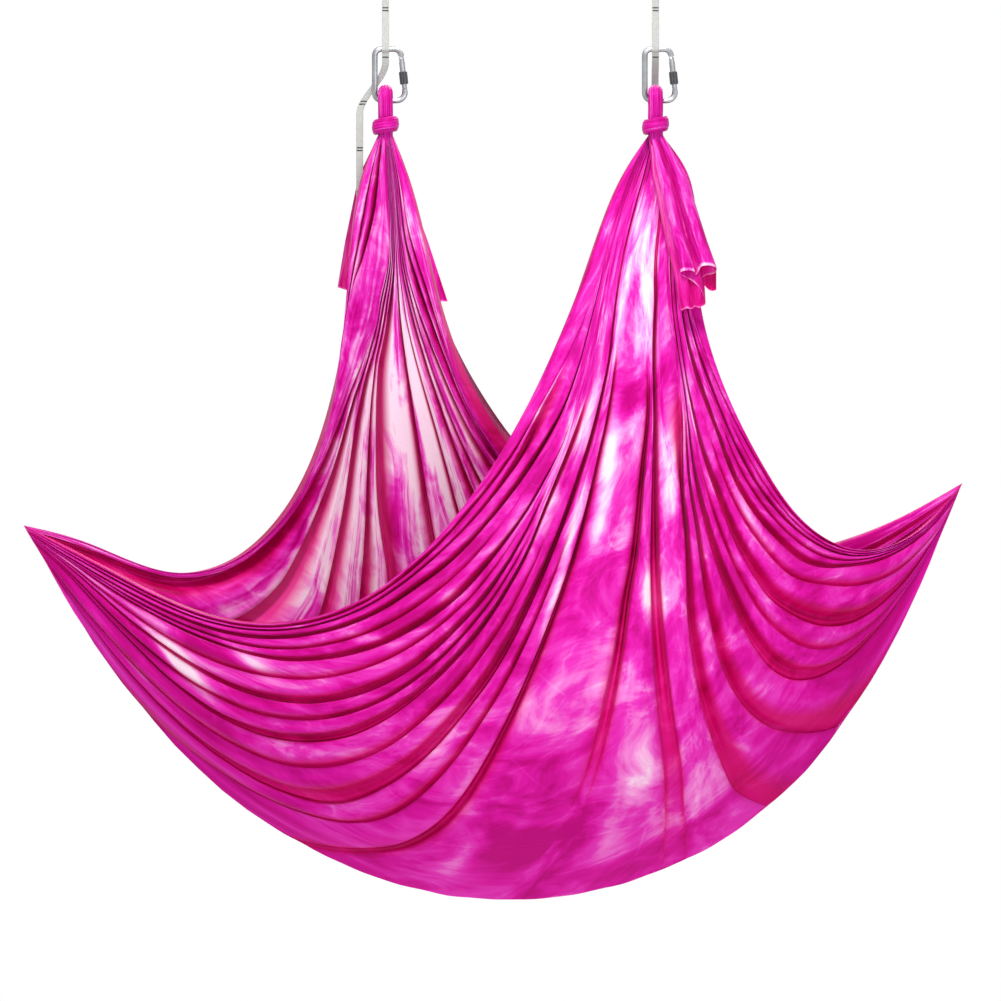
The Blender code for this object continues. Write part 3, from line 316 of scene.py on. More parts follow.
# %% Recess paths of both panels
# Each has its lean (1: the left face hangs over it), its width, how deep it is down the cloth, and its path.
# Where the front's pleats turn into swags, the lean changes sides: there the lower fold has the crisp edge.
LEFT_LEAN = [(0, 1), (.38, 1), (.55, -.65), (1, -.65)]
SQUARE_LEAN = [(0, 0), (1, 0)]
RIGHT_LEAN = [(0, -1), (.42, -1), (.58, .65), (1, .65)]
FRONT_RECESSES = [
    (LEFT_LEAN, .006, [(0, .8), (.05, .3), (.14, .3), (.19, .8), (.45, .8), (.6, .4), (1, .2)],
     [(0, .10), (.08, .16), (.18, .2), (.22, .15), (.26, .118), (.3, .092), (.33, .071), (.38, .053),
      (.42, .039), (.45, .028), (.56, .017), (.8, .010), (1, .002)]),
    (LEFT_LEAN, .004, [(0, .8), (.06, .03), (.1, 0), (.3, 0), (.4, .8), (.6, .6), (.9, .5), (1, .3)],
     [(0, .14), (.08, .185), (.18, .214), (.24, .17), (.28, .125), (.337, .086), (.42, .071), (.48, .056),
      (.52, .043), (.57, .033), (.64, .027), (.71, .022), (.8, .018), (1, .004)]),
    (LEFT_LEAN, .008, [(0, .8), (.06, .05), (.16, 0), (.24, .9), (.5, .9), (.62, .55), (.92, .5), (1, .3)],
     [(0, .19), (.08, .215), (.19, .236), (.27, .222), (.30, .206), (.333, .192), (.354, .169),
      (.384, .141), (.423, .12), (.461, .104), (.5, .092), (.534, .083), (.572, .064), (.62, .056),
      (.68, .045), (.744, .039), (.88, .022), (1, .006)]),
    (LEFT_LEAN, .008, [(0, .8), (.06, .03), (.1, 0), (.36, 0), (.46, .8), (.62, .5), (.92, .5), (1, .3)],
     [(0, .24), (.1, .255), (.2, .27), (.3, .272), (.378, .252), (.419, .222), (.461, .201), (.496, .182),
      (.53, .169), (.564, .161), (.594, .148), (.629, .133), (.667, .12), (.701, .107), (.761, .086),
      (.8, .064), (.872, .039), (.958, .015), (1, .008)]),
    (LEFT_LEAN, .006, [(0, .8), (.06, .03), (.1, 0), (.44, 0), (.54, .7), (.66, .5), (.92, .5), (1, .3)],
     [(0, .28), (.1, .29), (.2, .305), (.3, .302), (.38, .27), (.45, .236), (.572, .214), (.616, .201),
      (.667, .194), (.701, .189), (.744, .18), (.796, .162), (.839, .137), (.872, .107), (.916, .064),
      (.958, .023), (1, .010)]),
    (LEFT_LEAN, .010, [(0, .8), (.06, .03), (.1, 0), (.33, 0), (.4, 1), (.6, .8), (.72, .5), (.94, .5),
      (1, .3)],
     [(0, .33), (.1, .335), (.2, .345), (.3, .335), (.36, .295), (.42, .266), (.461, .259), (.513, .263),
      (.556, .257), (.616, .249), (.667, .24), (.714, .236), (.761, .233), (.804, .227), (.851, .21),
      (.89, .184), (.92, .141), (.941, .086), (.971, .03), (1, .012)]),
    (LEFT_LEAN, .020, [(0, 1), (.06, .4), (.17, .1), (.24, .8), (.28, 1), (.6, .8), (.75, .5), (.95, .5),
      (1, .3)],
     [(0, .39), (.1, .40), (.2, .42), (.281, .432), (.329, .405), (.371, .385), (.41, .366), (.444, .356),
      (.53, .339), (.616, .33), (.667, .326), (.722, .317), (.787, .314), (.839, .309), (.889, .302),
      (.916, .296), (.954, .24), (.975, .154), (1, .02)]),
    (SQUARE_LEAN, .008, [(0, .8), (.06, .03), (.1, 0), (.28, 0), (.36, .8), (.6, .8), (.8, .5), (1, .2)],
     [(0, .45), (.1, .455), (.2, .465), (.28, .475), (.35, .46), (.401, .439), (.466, .428), (.517, .422),
      (.556, .416), (.607, .409), (.667, .404), (.744, .4), (.847, .4), (.889, .397), (.937, .386),
      (.976, .356), (1, .33)]),
    (SQUARE_LEAN, .012, [(0, .8), (.06, .03), (.1, 0), (.33, 0), (.42, .8), (.6, .8), (.75, .3), (.85, 0),
      (1, 0)],
     [(0, .55), (.1, .565), (.2, .60), (.28, .635), (.33, .648), (.376, .642), (.423, .619), (.466, .607),
      (.509, .6), (.556, .593), (.6, .58), (.667, .572), (.714, .563), (.752, .557), (.9, .53), (1, .50)]),
    (SQUARE_LEAN, .018, [(0, 1), (.06, .4), (.15, .2), (.24, .8), (.5, .8), (.7, .5), (.9, .1), (1, 0)],
     [(0, .60), (.08, .62), (.15, .66), (.23, .70), (.269, .692), (.307, .678), (.337, .672), (.376, .665),
      (.41, .658), (.444, .652), (.487, .645), (.53, .642), (.564, .64), (.7, .64), (.85, .64), (1, .63)]),
    (RIGHT_LEAN, .010, [(0, .8), (.06, .03), (.1, 0), (.4, 0), (.48, .9), (.6, .7), (.85, .5), (1, .2)],
     [(0, .65), (.08, .68), (.15, .73), (.25, .775), (.33, .79), (.4, .785), (.44, .773), (.487, .743),
      (.53, .727), (.572, .718), (.616, .709), (.667, .697), (.71, .692), (.778, .688), (.851, .69),
      (.889, .692), (.937, .694), (.984, .709), (1, .715)]),
    (RIGHT_LEAN, .006, [(0, .8), (.06, .03), (.1, 0), (.44, 0), (.54, .7), (.7, .5), (.9, .5), (1, .3)],
     [(0, .68), (.08, .71), (.15, .76), (.25, .795), (.33, .802), (.38, .802), (.44, .789), (.487, .765),
      (.53, .753), (.6, .745), (.667, .734), (.714, .73), (.761, .727), (.812, .73), (.864, .739),
      (.911, .752), (.958, .773), (.984, .787), (1, .80)]),
    (RIGHT_LEAN, .016, [(0, 1), (.06, .3), (.3, .2), (.4, .8), (.6, .6), (.92, .5), (1, .3)],
     [(0, .72), (.08, .745), (.15, .785), (.25, .815), (.33, .818), (.4, .81), (.479, .785), (.509, .777),
      (.556, .772), (.616, .772), (.667, .774), (.722, .778), (.787, .781), (.847, .789), (.889, .802),
      (.929, .828), (.967, .878), (1, .985)]),
    (RIGHT_LEAN, .012, [(0, 1), (.06, .4), (.27, .4), (.36, .9), (.6, .6), (.92, .5), (1, .3)],
     [(0, .76), (.08, .78), (.15, .81), (.25, .838), (.33, .838), (.378, .83), (.419, .824), (.509, .816),
      (.556, .817), (.667, .82), (.722, .824), (.77, .829), (.812, .842), (.864, .859), (.916, .88),
      (.954, .914), (.98, .949), (1, .988)]),
    (RIGHT_LEAN, .018, [(0, 1), (.2, .5), (.36, .9), (.6, .6), (.9, .5), (1, .3)],
     [(0, .81), (.08, .825), (.15, .85), (.25, .87), (.33, .875), (.38, .882), (.45, .887), (.517, .885),
      (.556, .877), (.594, .874), (.637, .878), (.68, .887), (.727, .898), (.77, .907), (.804, .928),
      (.826, .95), (.9, .975), (1, .991)]),
    (RIGHT_LEAN, .008, [(0, 1), (.2, .6), (.36, .9), (.6, .6), (.9, .5), (1, .3)],
     [(0, .86), (.08, .87), (.15, .885), (.25, .90), (.307, .905), (.337, .912), (.384, .923), (.419, .932),
      (.461, .932), (.509, .93), (.551, .928), (.6, .93), (.68, .945), (.76, .962), (.85, .98), (1, .994)]),
    (RIGHT_LEAN, .005, [(0, 1), (.2, .6), (.36, .9), (.6, .6), (.9, .4), (1, .3)],
     [(0, .91), (.08, .915), (.15, .925), (.25, .93), (.307, .936), (.359, .953), (.41, .966), (.47, .974),
      (.53, .977), (.6, .98), (.7, .985), (.8, .99), (1, .997)]),
]
BACK_RECESSES = [
    (0, .006, [(0, 1), (.2, 1), (.3, 0), (1, 0)],
     [(0, .18), (.06, .16), (.1, .14), (.147, .11), (.19, .07), (.24, .03), (.3, .004), (1, .001)]),
    (-1, .006, [(0, 1), (.25, 1), (.31, .2), (1, .1)],
     [(0, .36), (.06, .36), (.097, .333), (.147, .24), (.167, .2), (.191, .161), (.211, .111), (.244, .067),
      (.272, .033), (.311, .012), (.5, .006), (1, .002)]),
    (1, .008, [(0, 1), (.5, 1), (.8, .6), (1, .3)],
     [(0, .50), (.06, .525), (.11, .52), (.156, .461), (.183, .389), (.211, .333), (.256, .289),
      (.289, .222), (.333, .167), (.378, .111), (.444, .061), (.5, .036), (.556, .026), (.7, .017),
      (1, .004)]),
    (1, .007, [(0, .6), (.25, .6), (.34, 1), (.9, 1), (1, .3)],
     [(0, .525), (.06, .55), (.11, .54), (.156, .485), (.211, .36), (.256, .31), (.29, .262), (.322, .233),
      (.372, .167), (.422, .133), (.467, .119), (.522, .108), (.572, .106), (.628, .108), (.683, .112),
      (.8, .095), (.93, .045), (1, .008)]),
    (1, .008, [(0, .6), (.3, .6), (.38, 1), (.9, 1), (1, .3)],
     [(0, .55), (.06, .572), (.11, .56), (.156, .505), (.211, .39), (.256, .335), (.3, .285), (.33, .25),
      (.361, .228), (.406, .211), (.461, .211), (.517, .219), (.578, .222), (.633, .226), (.68, .23),
      (.8, .21), (.93, .11), (1, .012)]),
    (1, .006, [(0, .6), (.38, .4), (.46, 1), (.9, .9), (1, .3)],
     [(0, .58), (.06, .594), (.11, .58), (.156, .525), (.211, .42), (.256, .36), (.3, .31), (.36, .295),
      (.41, .299), (.456, .306), (.517, .317), (.572, .322), (.7, .325), (.85, .31), (.95, .24), (1, .10)]),
    (.5, .008, [(0, 1), (.6, 1), (.9, .5), (1, .2)],
     [(0, .61), (.06, .62), (.11, .60), (.156, .55), (.211, .45), (.256, .39), (.3, .34), (.34, .335),
      (.372, .34), (.422, .35), (.461, .358), (.506, .372), (.544, .389), (.572, .4), (.7, .41), (.85, .40),
      (1, .36)]),
    (0, .010, [(0, 1), (.6, 1), (.9, .4), (1, .1)],
     [(0, .64), (.06, .65), (.11, .622), (.156, .585), (.22, .545), (.272, .533), (.322, .53), (.378, .524),
      (.433, .522), (.506, .522), (.7, .52), (1, .50)]),
    (0, .005, [(0, .3), (.3, .3), (.36, .8), (.6, .8), (.9, .2), (1, 0)],
     [(0, .665), (.06, .67), (.11, .64), (.156, .61), (.22, .60), (.272, .61), (.322, .617), (.367, .617),
      (.467, .606), (.7, .60), (1, .58)]),
    (-.5, .008, [(0, 1), (.6, 1), (.9, .4), (1, .1)],
     [(0, .69), (.06, .695), (.11, .66), (.156, .64), (.206, .662), (.267, .68), (.322, .686), (.378, .68),
      (.433, .678), (.6, .68), (.8, .66), (1, .64)]),
    (-1, .007, [(0, 1), (.6, 1), (.9, .4), (1, .1)],
     [(0, .72), (.06, .72), (.11, .68), (.156, .668), (.206, .697), (.267, .717), (.333, .728),
      (.422, .728), (.6, .73), (.8, .74), (1, .75)]),
    (-1, .008, [(0, 1), (.6, 1), (.9, .6), (1, .1)],
     [(0, .76), (.06, .75), (.11, .70), (.156, .695), (.217, .745), (.256, .778), (.3, .811), (.344, .817),
      (.4, .812), (.6, .82), (.8, .86), (.93, .93), (1, .985)]),
    (-1, .008, [(0, 1), (.6, 1), (.9, .6), (1, .1)],
     [(0, .81), (.06, .79), (.11, .75), (.133, .752), (.183, .806), (.239, .867), (.294, .9), (.356, .894),
      (.406, .884), (.6, .89), (.8, .93), (1, .99)]),
    (-1, .006, [(0, 1), (.6, 1), (.9, .6), (1, .1)],
     [(0, .87), (.06, .84), (.11, .82), (.161, .86), (.194, .9), (.25, .935), (.35, .945), (.45, .945),
      (.6, .95), (.8, .965), (1, .994)]),
]

# %% Soft folds of the front between the others
# They start where the swags do, reach their strength, hold it and fade out at the edge
SOFT_FOLD_START = 0.48
SOFT_FOLD_FULL = 0.62
SOFT_FOLD_HOLD = 0.93
SOFT_FOLD_LAST = 0.1
SOFT_FOLD_GAP = 0.003
PATH_SAMPLES = 41


def between(first, second, strength):
    """A soft fold halfway between two recesses."""
    at = np.linspace(0, 1, PATH_SAMPLES)
    one, other = (np.interp(at, *zip(*recess[3])) for recess in (first, second))
    strengths = [(0, 0), (SOFT_FOLD_START, 0), (SOFT_FOLD_FULL, strength), (SOFT_FOLD_HOLD, strength),
                 (1, SOFT_FOLD_LAST)]
    return first[0], SOFT_FOLD_GAP, strengths, list(zip(at, (one + other) / 2))


for i, strength in ((15, .2), (14, .25), (13, .22), (12, .2), (6, .3), (5, .25), (4, .34), (3, .22), (2, .3)):
    FRONT_RECESSES.insert(i + 1, between(FRONT_RECESSES[i], FRONT_RECESSES[i + 1], strength))
print(len(FRONT_RECESSES), "recesses in the front panel,", len(BACK_RECESSES), "in the back panel")

# %% Shape of a pleat's side
# From the recess's floor to the face: places across, as shares of the face's width, and depths
SIDE_STEPS = 6
SIDE_KNOTS = [0, .15, .3, .45, .6, .75, .9, 1]
CORNER_BLUR = 0.012


def side_profile(places, depths):
    at = np.linspace(0, 1, SIDE_STEPS)
    return np.interp(at, SIDE_KNOTS, places), np.interp(at, SIDE_KNOTS, depths)


SLOW_RISE = side_profile([0, .07, .15, .24, .34, .45, .57, .68], [1, .90, .74, .55, .35, .17, .05, 0])
SQUARE = side_profile([0, .004, .01, .018, .028, .045, .075, .12], [1, .78, .55, .34, .17, .06, .015, 0])
OVERHANG = side_profile([0, -.02, -.06, -.11, -.15, -.155, -.12, -.04], [1, .75, .5, .27, .1, .02, 0, 0])


def side_shape(rise):
    """rise has a value for each row: 1 for a slow rise, 0 for a square side, -1 for one that hangs over."""
    rise = rise[:, None]
    share = np.abs(rise)
    return [SQUARE[i] * (1 - share) + np.where(rise > 0, SLOW_RISE[i], OVERHANG[i]) * share for i in (0, 1)]


def along(knots, rows):
    """A value that changes down the cloth, with its corners softened."""
    places, values = zip(*knots)
    width = len(rows) * CORNER_BLUR
    reach = int(3 * width)
    kernel = np.exp(-0.5 * (np.arange(-reach, reach + 1) / width) ** 2)
    sharp = np.interp(rows, places, values)
    padded = np.pad(sharp, reach, mode="reflect", reflect_type="odd")
    return np.convolve(padded, kernel / kernel.sum(), mode="valid")


print(SIDE_STEPS, "points on each side of a pleat")

# %% Sizes of the pleats
ROWS = 150
MIN_FACE = 0.0012
FACE_STEPS = 4
WIDE_FACE_STEPS = 15
WIDE_FACE = 0.05
# How deep the recesses are down the cloth, in metres, and how far the faces bulge
RECESS_DEPTH = [(0, .020), (.05, .030), (.12, .038), (.2, .048), (.35, .058), (.5, .058), (.6, .054),
                (.7, .048), (.8, .042), (.9, .032), (.96, .018), (1, .001)]
FACE_BULGE_SHARE = 0.10
FACE_BULGE_MOST = 0.010
# A recess takes at most this share of a face's width, and the two sides of a face together that one
RECESS_MOST = 0.35
SIDES_MOST = 0.92
SIDES_LEAST = 0.01
# The rims roll in like weak recesses
RIM_LEAN = 0.4
RIM_ROLL = [(0, .4), (.2, .55), (.5, .45), (1, .2)]
# The cloth gathered inside a recess: a ridge that rises from its floor by this share of the depth
INNER_RIDGE = 0.6
RIDGE_STEPS = 3
# Painted crimson shade reaches up a recess's sides, further for a lower power, and is full from this strength
# on
FRONT_PAINTED_SHADE_POWER = 0.42
BACK_PAINTED_SHADE_POWER = 0.55
PAINTED_SHADE_FULL_STRENGTH = 0.45

# %% Lay out the pleats of a panel
def recess_lines(recesses, rows):
    """Places of the rims and recesses across the cloth, kept in order and apart."""
    lines = [along(path, rows) for _, _, _, path in recesses]
    ends = np.vstack([np.zeros(len(rows)), lines, np.ones(len(rows))])
    for i in range(1, len(ends)):
        ends[i] = np.maximum(ends[i], ends[i - 1] + MIN_FACE)
    for i in range(len(ends) - 2, -1, -1):
        ends[i] = np.minimum(ends[i], ends[i + 1] - MIN_FACE)
    ends[0], ends[-1] = 0, 1
    return ends


def two_sides(left_scale, left, right_scale, right, steps):
    """Values that fall from the recess on the left, are nothing on the face and rise again on the right."""
    flat = np.zeros((len(left_scale), steps))
    return np.concatenate([left_scale[:, None] * left, flat, right_scale[:, None] * right[:, ::-1]], axis=1)


def pleats(recesses, rows, widths, crimson):
    """Places across, depths, and how much painted crimson shade each point gets from its recess, for every
    column of every row.
    """
    ends = recess_lines(recesses, rows)
    deep = along(RECESS_DEPTH, rows)
    rim = along(RIM_ROLL, rows)
    rim_lean = np.full(len(rows), RIM_LEAN)
    strengths = [np.clip(along(strength, rows), 0, 1) for _, _, strength, _ in recesses]
    strengths = np.array([rim, *strengths, rim])
    leans = [along(lean if isinstance(lean, list) else [(0, lean), (1, lean)], rows)
             for lean, _, _, _ in recesses]
    leans = [rim_lean, *leans, -rim_lean]
    # Painted shade: how strongly each recess darkens the dye towards crimson
    shades = np.clip(strengths / PAINTED_SHADE_FULL_STRENGTH, 0, 1)
    whole = np.diff(ends, axis=0) * RECESS_MOST
    gaps = np.array([0.0, *(gap for _, gap, _, _ in recesses), 0.0])[:, None]
    lows = ends[:-1] + np.minimum(gaps[:-1], whole) / 2
    highs = ends[1:] - np.minimum(gaps[1:], whole) / 2
    ridge_at = np.linspace(0, 1, RIDGE_STEPS + 2)[1:-1]
    ridge = 1 - INNER_RIDGE * np.sin(np.pi * ridge_at)
    places, heights, painted_recess_shade = [], [], []
    for i in range(len(recesses) + 1):
        width = highs[i] - lows[i]
        left, right = side_shape(leans[i]), side_shape(-leans[i + 1])
        squeeze = np.minimum(1.0, SIDES_MOST / np.maximum(left[0][:, -1:] + right[0][:, -1:], SIDES_LEAST))
        steps = WIDE_FACE_STEPS if width.mean() > WIDE_FACE else FACE_STEPS
        start, stop = left[0][:, -1:] * squeeze, 1 - right[0][:, -1:] * squeeze
        middle = start + (stop - start) * np.linspace(0, 1, steps + 2)[1:-1]
        across = np.concatenate([left[0] * squeeze, middle, 1 - right[0][:, ::-1] * squeeze], axis=1)
        down = two_sides(deep * strengths[i], left[1], deep * strengths[i + 1], right[1], steps)
        fullness = np.sqrt((strengths[i] + strengths[i + 1]) / 2)
        bulge = np.minimum(FACE_BULGE_SHARE * width * widths, FACE_BULGE_MOST) * fullness
        places.append(lows[i][:, None] + width[:, None] * across)
        heights.append(down - bulge[:, None] * np.sin(np.pi * np.clip(across, 0, 1)))
        # Painted shade, falling off up each side of the recess as its depth does
        painted_recess_shade.append(two_sides(shades[i], left[1], shades[i + 1], right[1], steps) ** crimson)
        if i < len(recesses):
            gap = lows[i + 1] - highs[i]
            places.append(highs[i][:, None] + gap[:, None] * ridge_at)
            heights.append((deep * strengths[i + 1])[:, None] * ridge)
            painted_recess_shade.append(shades[i + 1][:, None] * np.ones(RIDGE_STEPS))
    return np.concatenate(places, 1), np.concatenate(heights, 1), np.concatenate(painted_recess_shade, 1)

# %% [markdown]
# ## From pleats to a sheet
# The pleats are laid on the smooth sheet, each point moved in by its depth, with a few soft waves that run
# with the warp. Near the neck the pleats close up into an oval bundle. The sheet gets a map of its own
# cloth in metres, for the weave and the dye, and two values at each point: how pale the dye is there, and
# how much painted crimson shade the recess puts on it.

# %% Waves and dye clouds
WAVE_COUNT = 7
WAVE_GAIN = 1.6
CLOUD_STRENGTH = 0.75


def waves(across, down, seed, across_scale, down_scale):
    """A few sine waves of mixed directions, between about -1 and 1."""
    random = np.random.default_rng(seed)
    total = np.zeros_like(across)
    for _ in range(WAVE_COUNT):
        a = random.uniform(0.4, 1.0) * across_scale * random.choice([-1, 1])
        d = random.uniform(0.4, 1.0) * down_scale
        total += np.sin(2 * np.pi * (a * across + d * down + random.uniform()))
    return total / WAVE_COUNT * WAVE_GAIN


def clouds(across, down, places):
    """Soft pale patches: each has its centre, its reach across and down, and its strength."""
    pale = np.zeros_like(across)
    for u, v, reach_u, reach_v, strength in places:
        distance = ((across - u) / reach_u) ** 2 + ((down - v) / reach_v) ** 2
        pale += CLOUD_STRENGTH * strength * np.exp(-distance)
    return pale


FRONT_CLOUDS = [
    (.52, .14, .10, .07, .55), (.47, .22, .05, .07, .6), (.62, .20, .05, .07, .8),
    (.56, .27, .08, .035, .7), (.75, .30, .05, .035, .6), (.45, .10, .04, .03, .6),
    (.33, .36, .06, .035, 1.0), (.27, .43, .025, .07, .8), (.39, .50, .022, .09, .8),
    (.49, .42, .035, .05, 1.1), (.48, .50, .03, .04, .8), (.58, .40, .05, .05, .5),
    (.73, .44, .055, .045, 1.1), (.70, .50, .03, .04, .7), (.62, .60, .016, .05, .9),
    (.65, .63, .03, .03, .7), (.40, .57, .012, .04, .6), (.74, .60, .012, .05, .6),
    (.14, .58, .016, .014, .9), (.10, .33, .05, .04, .3), (.09, .79, .03, .014, 1.0),
    (.09, .88, .03, .016, 1.0), (.12, .89, .03, .014, .7), (.09, .34, .04, .01, .5),
    (.867, .68, .014, .09, .5), (.82, .78, .012, .03, .5), (.10, .66, .05, .012, .4),
    (.50, .72, .10, .05, .3), (.56, .35, .10, .014, -.6), (.32, .78, .05, .05, .4),
    (.40, .84, .03, .05, .5), (.50, .92, .06, .04, -.35), (.60, .84, .03, .08, .6),
    (.66, .88, .03, .05, .6), (.52, .78, .06, .05, .35), (.57, .93, .02, .04, .5),
    (.44, .93, .012, .05, .5), (.47, .40, .04, .10, .35), (.58, .12, .04, .05, .3),
    (.37, .28, .04, .08, .35), (.25, .25, .05, .05, .2), (.80, .20, .04, .06, .2), (.66, .26, .03, .06, .4),
    (.55, .50, .03, .08, .4), (.70, .17, .05, .02, .5), (.82, .42, .02, .05, .4), (.90, .38, .02, .06, .35),
    (.15, .12, .12, .015, .25),
]
BACK_CLOUDS = [
    (.17, .50, .05, .11, 1.0), (.26, .48, .04, .16, 1.0), (.32, .36, .06, .05, .8),
    (.40, .32, .05, .10, .9), (.36, .52, .03, .08, .7), (.46, .33, .035, .13, .9), (.50, .42, .02, .10, .9),
    (.60, .28, .06, .09, 1.1), (.60, .40, .05, .08, .9), (.70, .28, .014, .12, .7),
    (.77, .35, .02, .08, .5), (.18, .06, .16, .08, .2), (.52, .16, .03, .06, .5), (.13, .66, .03, .08, .5),
    (.30, .17, .08, .03, -.3), (.44, .22, .06, .02, -.4), (.84, .11, .06, .03, .4),
    (.92, .24, .06, .08, .3), (.30, .60, .14, .10, .45), (.60, .55, .12, .10, .4),
    (.96, .65, .10, .30, -.7), (.04, .70, .05, .25, -.3),
]


# %% Make a mesh of a sheet
def sheet_object(name, points, uv, values, finish):
    rows, columns = points.shape[:2]
    index = np.arange(rows * columns).reshape(rows, columns)
    quads = np.stack([index[:-1, :-1], index[:-1, 1:], index[1:, 1:], index[1:, :-1]], axis=-1).reshape(-1, 4)
    mesh = bpy.data.meshes.new(name)
    mesh.from_pydata(points.reshape(-1, 3).tolist(), [], quads.tolist())
    layer = mesh.uv_layers.new(name="cloth")
    layer.data.foreach_set("uv", uv.reshape(-1, 2)[quads.ravel()].ravel().astype(np.float32))
    for key, value in values.items():
        made = mesh.attributes.new(key, "FLOAT", "POINT")
        made.data.foreach_set("value", value.ravel().astype(np.float32))
    mesh.shade_smooth()
    mesh.materials.append(finish)
    made = bpy.data.objects.new(name, mesh)
    bpy.context.scene.collection.objects.link(made)
    return made


# %% Build a panel
# Where the pleats close up into the bundle, and how flat its oval is at the edges
BUNDLE_SHARE = 0.10
OVAL_LEAST = 0.05
# Soft waves all over, and small ones where the sheet is wide: their heights, and how many there are
# across and down
SOFT_WAVE = 0.0045
SOFT_COUNTS = (9, 1.2)
SMALL_WAVE = 0.0014
SMALL_COUNTS = (30, 2.5)
FULL_WIDTH = 1.4
# The soft ones start here, take this much of the way down to come in, and this much to go out
WAVES_START = 0.1
WAVES_IN = 0.3
WAVES_OUT = 0.15


def panel(name, guides, recesses, neck, float_out, cloud_list, seed, finish, crimson):
    """float_out moves the pleats back by a share of their depth, so they stay in the solid's place."""
    rows = np.linspace(0, 1, ROWS + 1)
    widths = np.linalg.norm(np.diff(even_sheet(guides, neck, rows), axis=1), axis=2).sum(1)
    across, depth, painted_recess_shade = pleats(recesses, rows, widths, crimson)
    points, normals = sheet_frame(guides, neck, rows, across)
    # Depths go towards +Y: into the pocket from the front panel, out of it from the back panel
    normals *= np.where(normals[..., 1:2].mean() > 0, 1.0, -1.0)
    down = np.repeat(rows[:, None], across.shape[1], 1)
    oval = np.sqrt(np.clip(1 - (2 * across - 1) ** 2, OVAL_LEAST, 1))
    bundled = np.clip(1 - down / BUNDLE_SHARE, 0, 1)
    deep = along(RECESS_DEPTH, rows)[:, None]
    shift = (depth - deep * float_out) * (1 - bundled) + (depth - deep / 2) * bundled * oval
    fade = np.clip((down - WAVES_START) / WAVES_IN, 0, 1) * np.clip((1 - down) / WAVES_OUT, 0, 1)
    wide = np.clip(widths / FULL_WIDTH, 0, 1)[:, None] ** 2
    soft = SOFT_WAVE * waves(across, down, seed, *SOFT_COUNTS) * fade
    soft += SMALL_WAVE * waves(across, down, seed + 1, *SMALL_COUNTS) * wide
    points = points + normals * (shift + soft * (1 - bundled))[..., None]
    columns = np.linspace(0, 1, across.shape[1])[None, :] * CLOTH_WIDTH
    uv = np.stack([np.broadcast_to(columns, across.shape), down * DROP], axis=-1)
    pale = clouds(across, down, cloud_list)
    # The recess value is painted shade: how far the material darkens the dye towards crimson here
    made = sheet_object(name, points, uv, {"pale": pale, "recess": painted_recess_shade}, finish)
    edges = points[1:, 1:] - points[:-1, :-1], points[1:, :-1] - points[:-1, 1:]
    area = np.linalg.norm(np.cross(*edges), axis=2).sum() / 2
    print(name, len(made.data.polygons) * 2, "triangles", round(area, 2), "m2")
    return made

# %% [markdown]
# ## Tie-dyed tricot
# The cloth is nylon tricot, a fine warp knit. Light gives it a satin face and a soft sheen. In the
# recesses the dye is darkened towards crimson: painted shade, standing in for light that bounces from
# magenta to magenta. The dye is strong magenta, with pink and nearly white clouds where the cloth was
# tied. Noise in the cloth's own map gives the clouds their ragged edges, and the values on the mesh say
# where they lie and where the painted shade lies.

# %% Dye of the tricot
# Sizes in metres of cloth, strengths in steps of the dye, where 0 is strong dye and 1 is white
BEND_SIZE = 0.3
BEND_SHARE = 0.12
CLOUD_SIZE = 0.10
CLOUD_RAGGEDNESS = 1.9
BLEED_WIDTH = 0.022
BLEED_LENGTH = 0.30
VEIL_SIZE = 0.22
VEIL_WIDTH = 0.025
VEIL_PALENESS = 0.10
THREAD_STREAK = 0.004
STREAK_SQUEEZE = 0.12
STREAK_STRENGTH = 0.3
CREASE_SIZE = 0.17
CREASE_WIDTH = 0.012
CREASE_PALENESS = 0.07
# The sum of the noises' middles, which is taken off at the end
NOISE_MIDDLE = 0.90


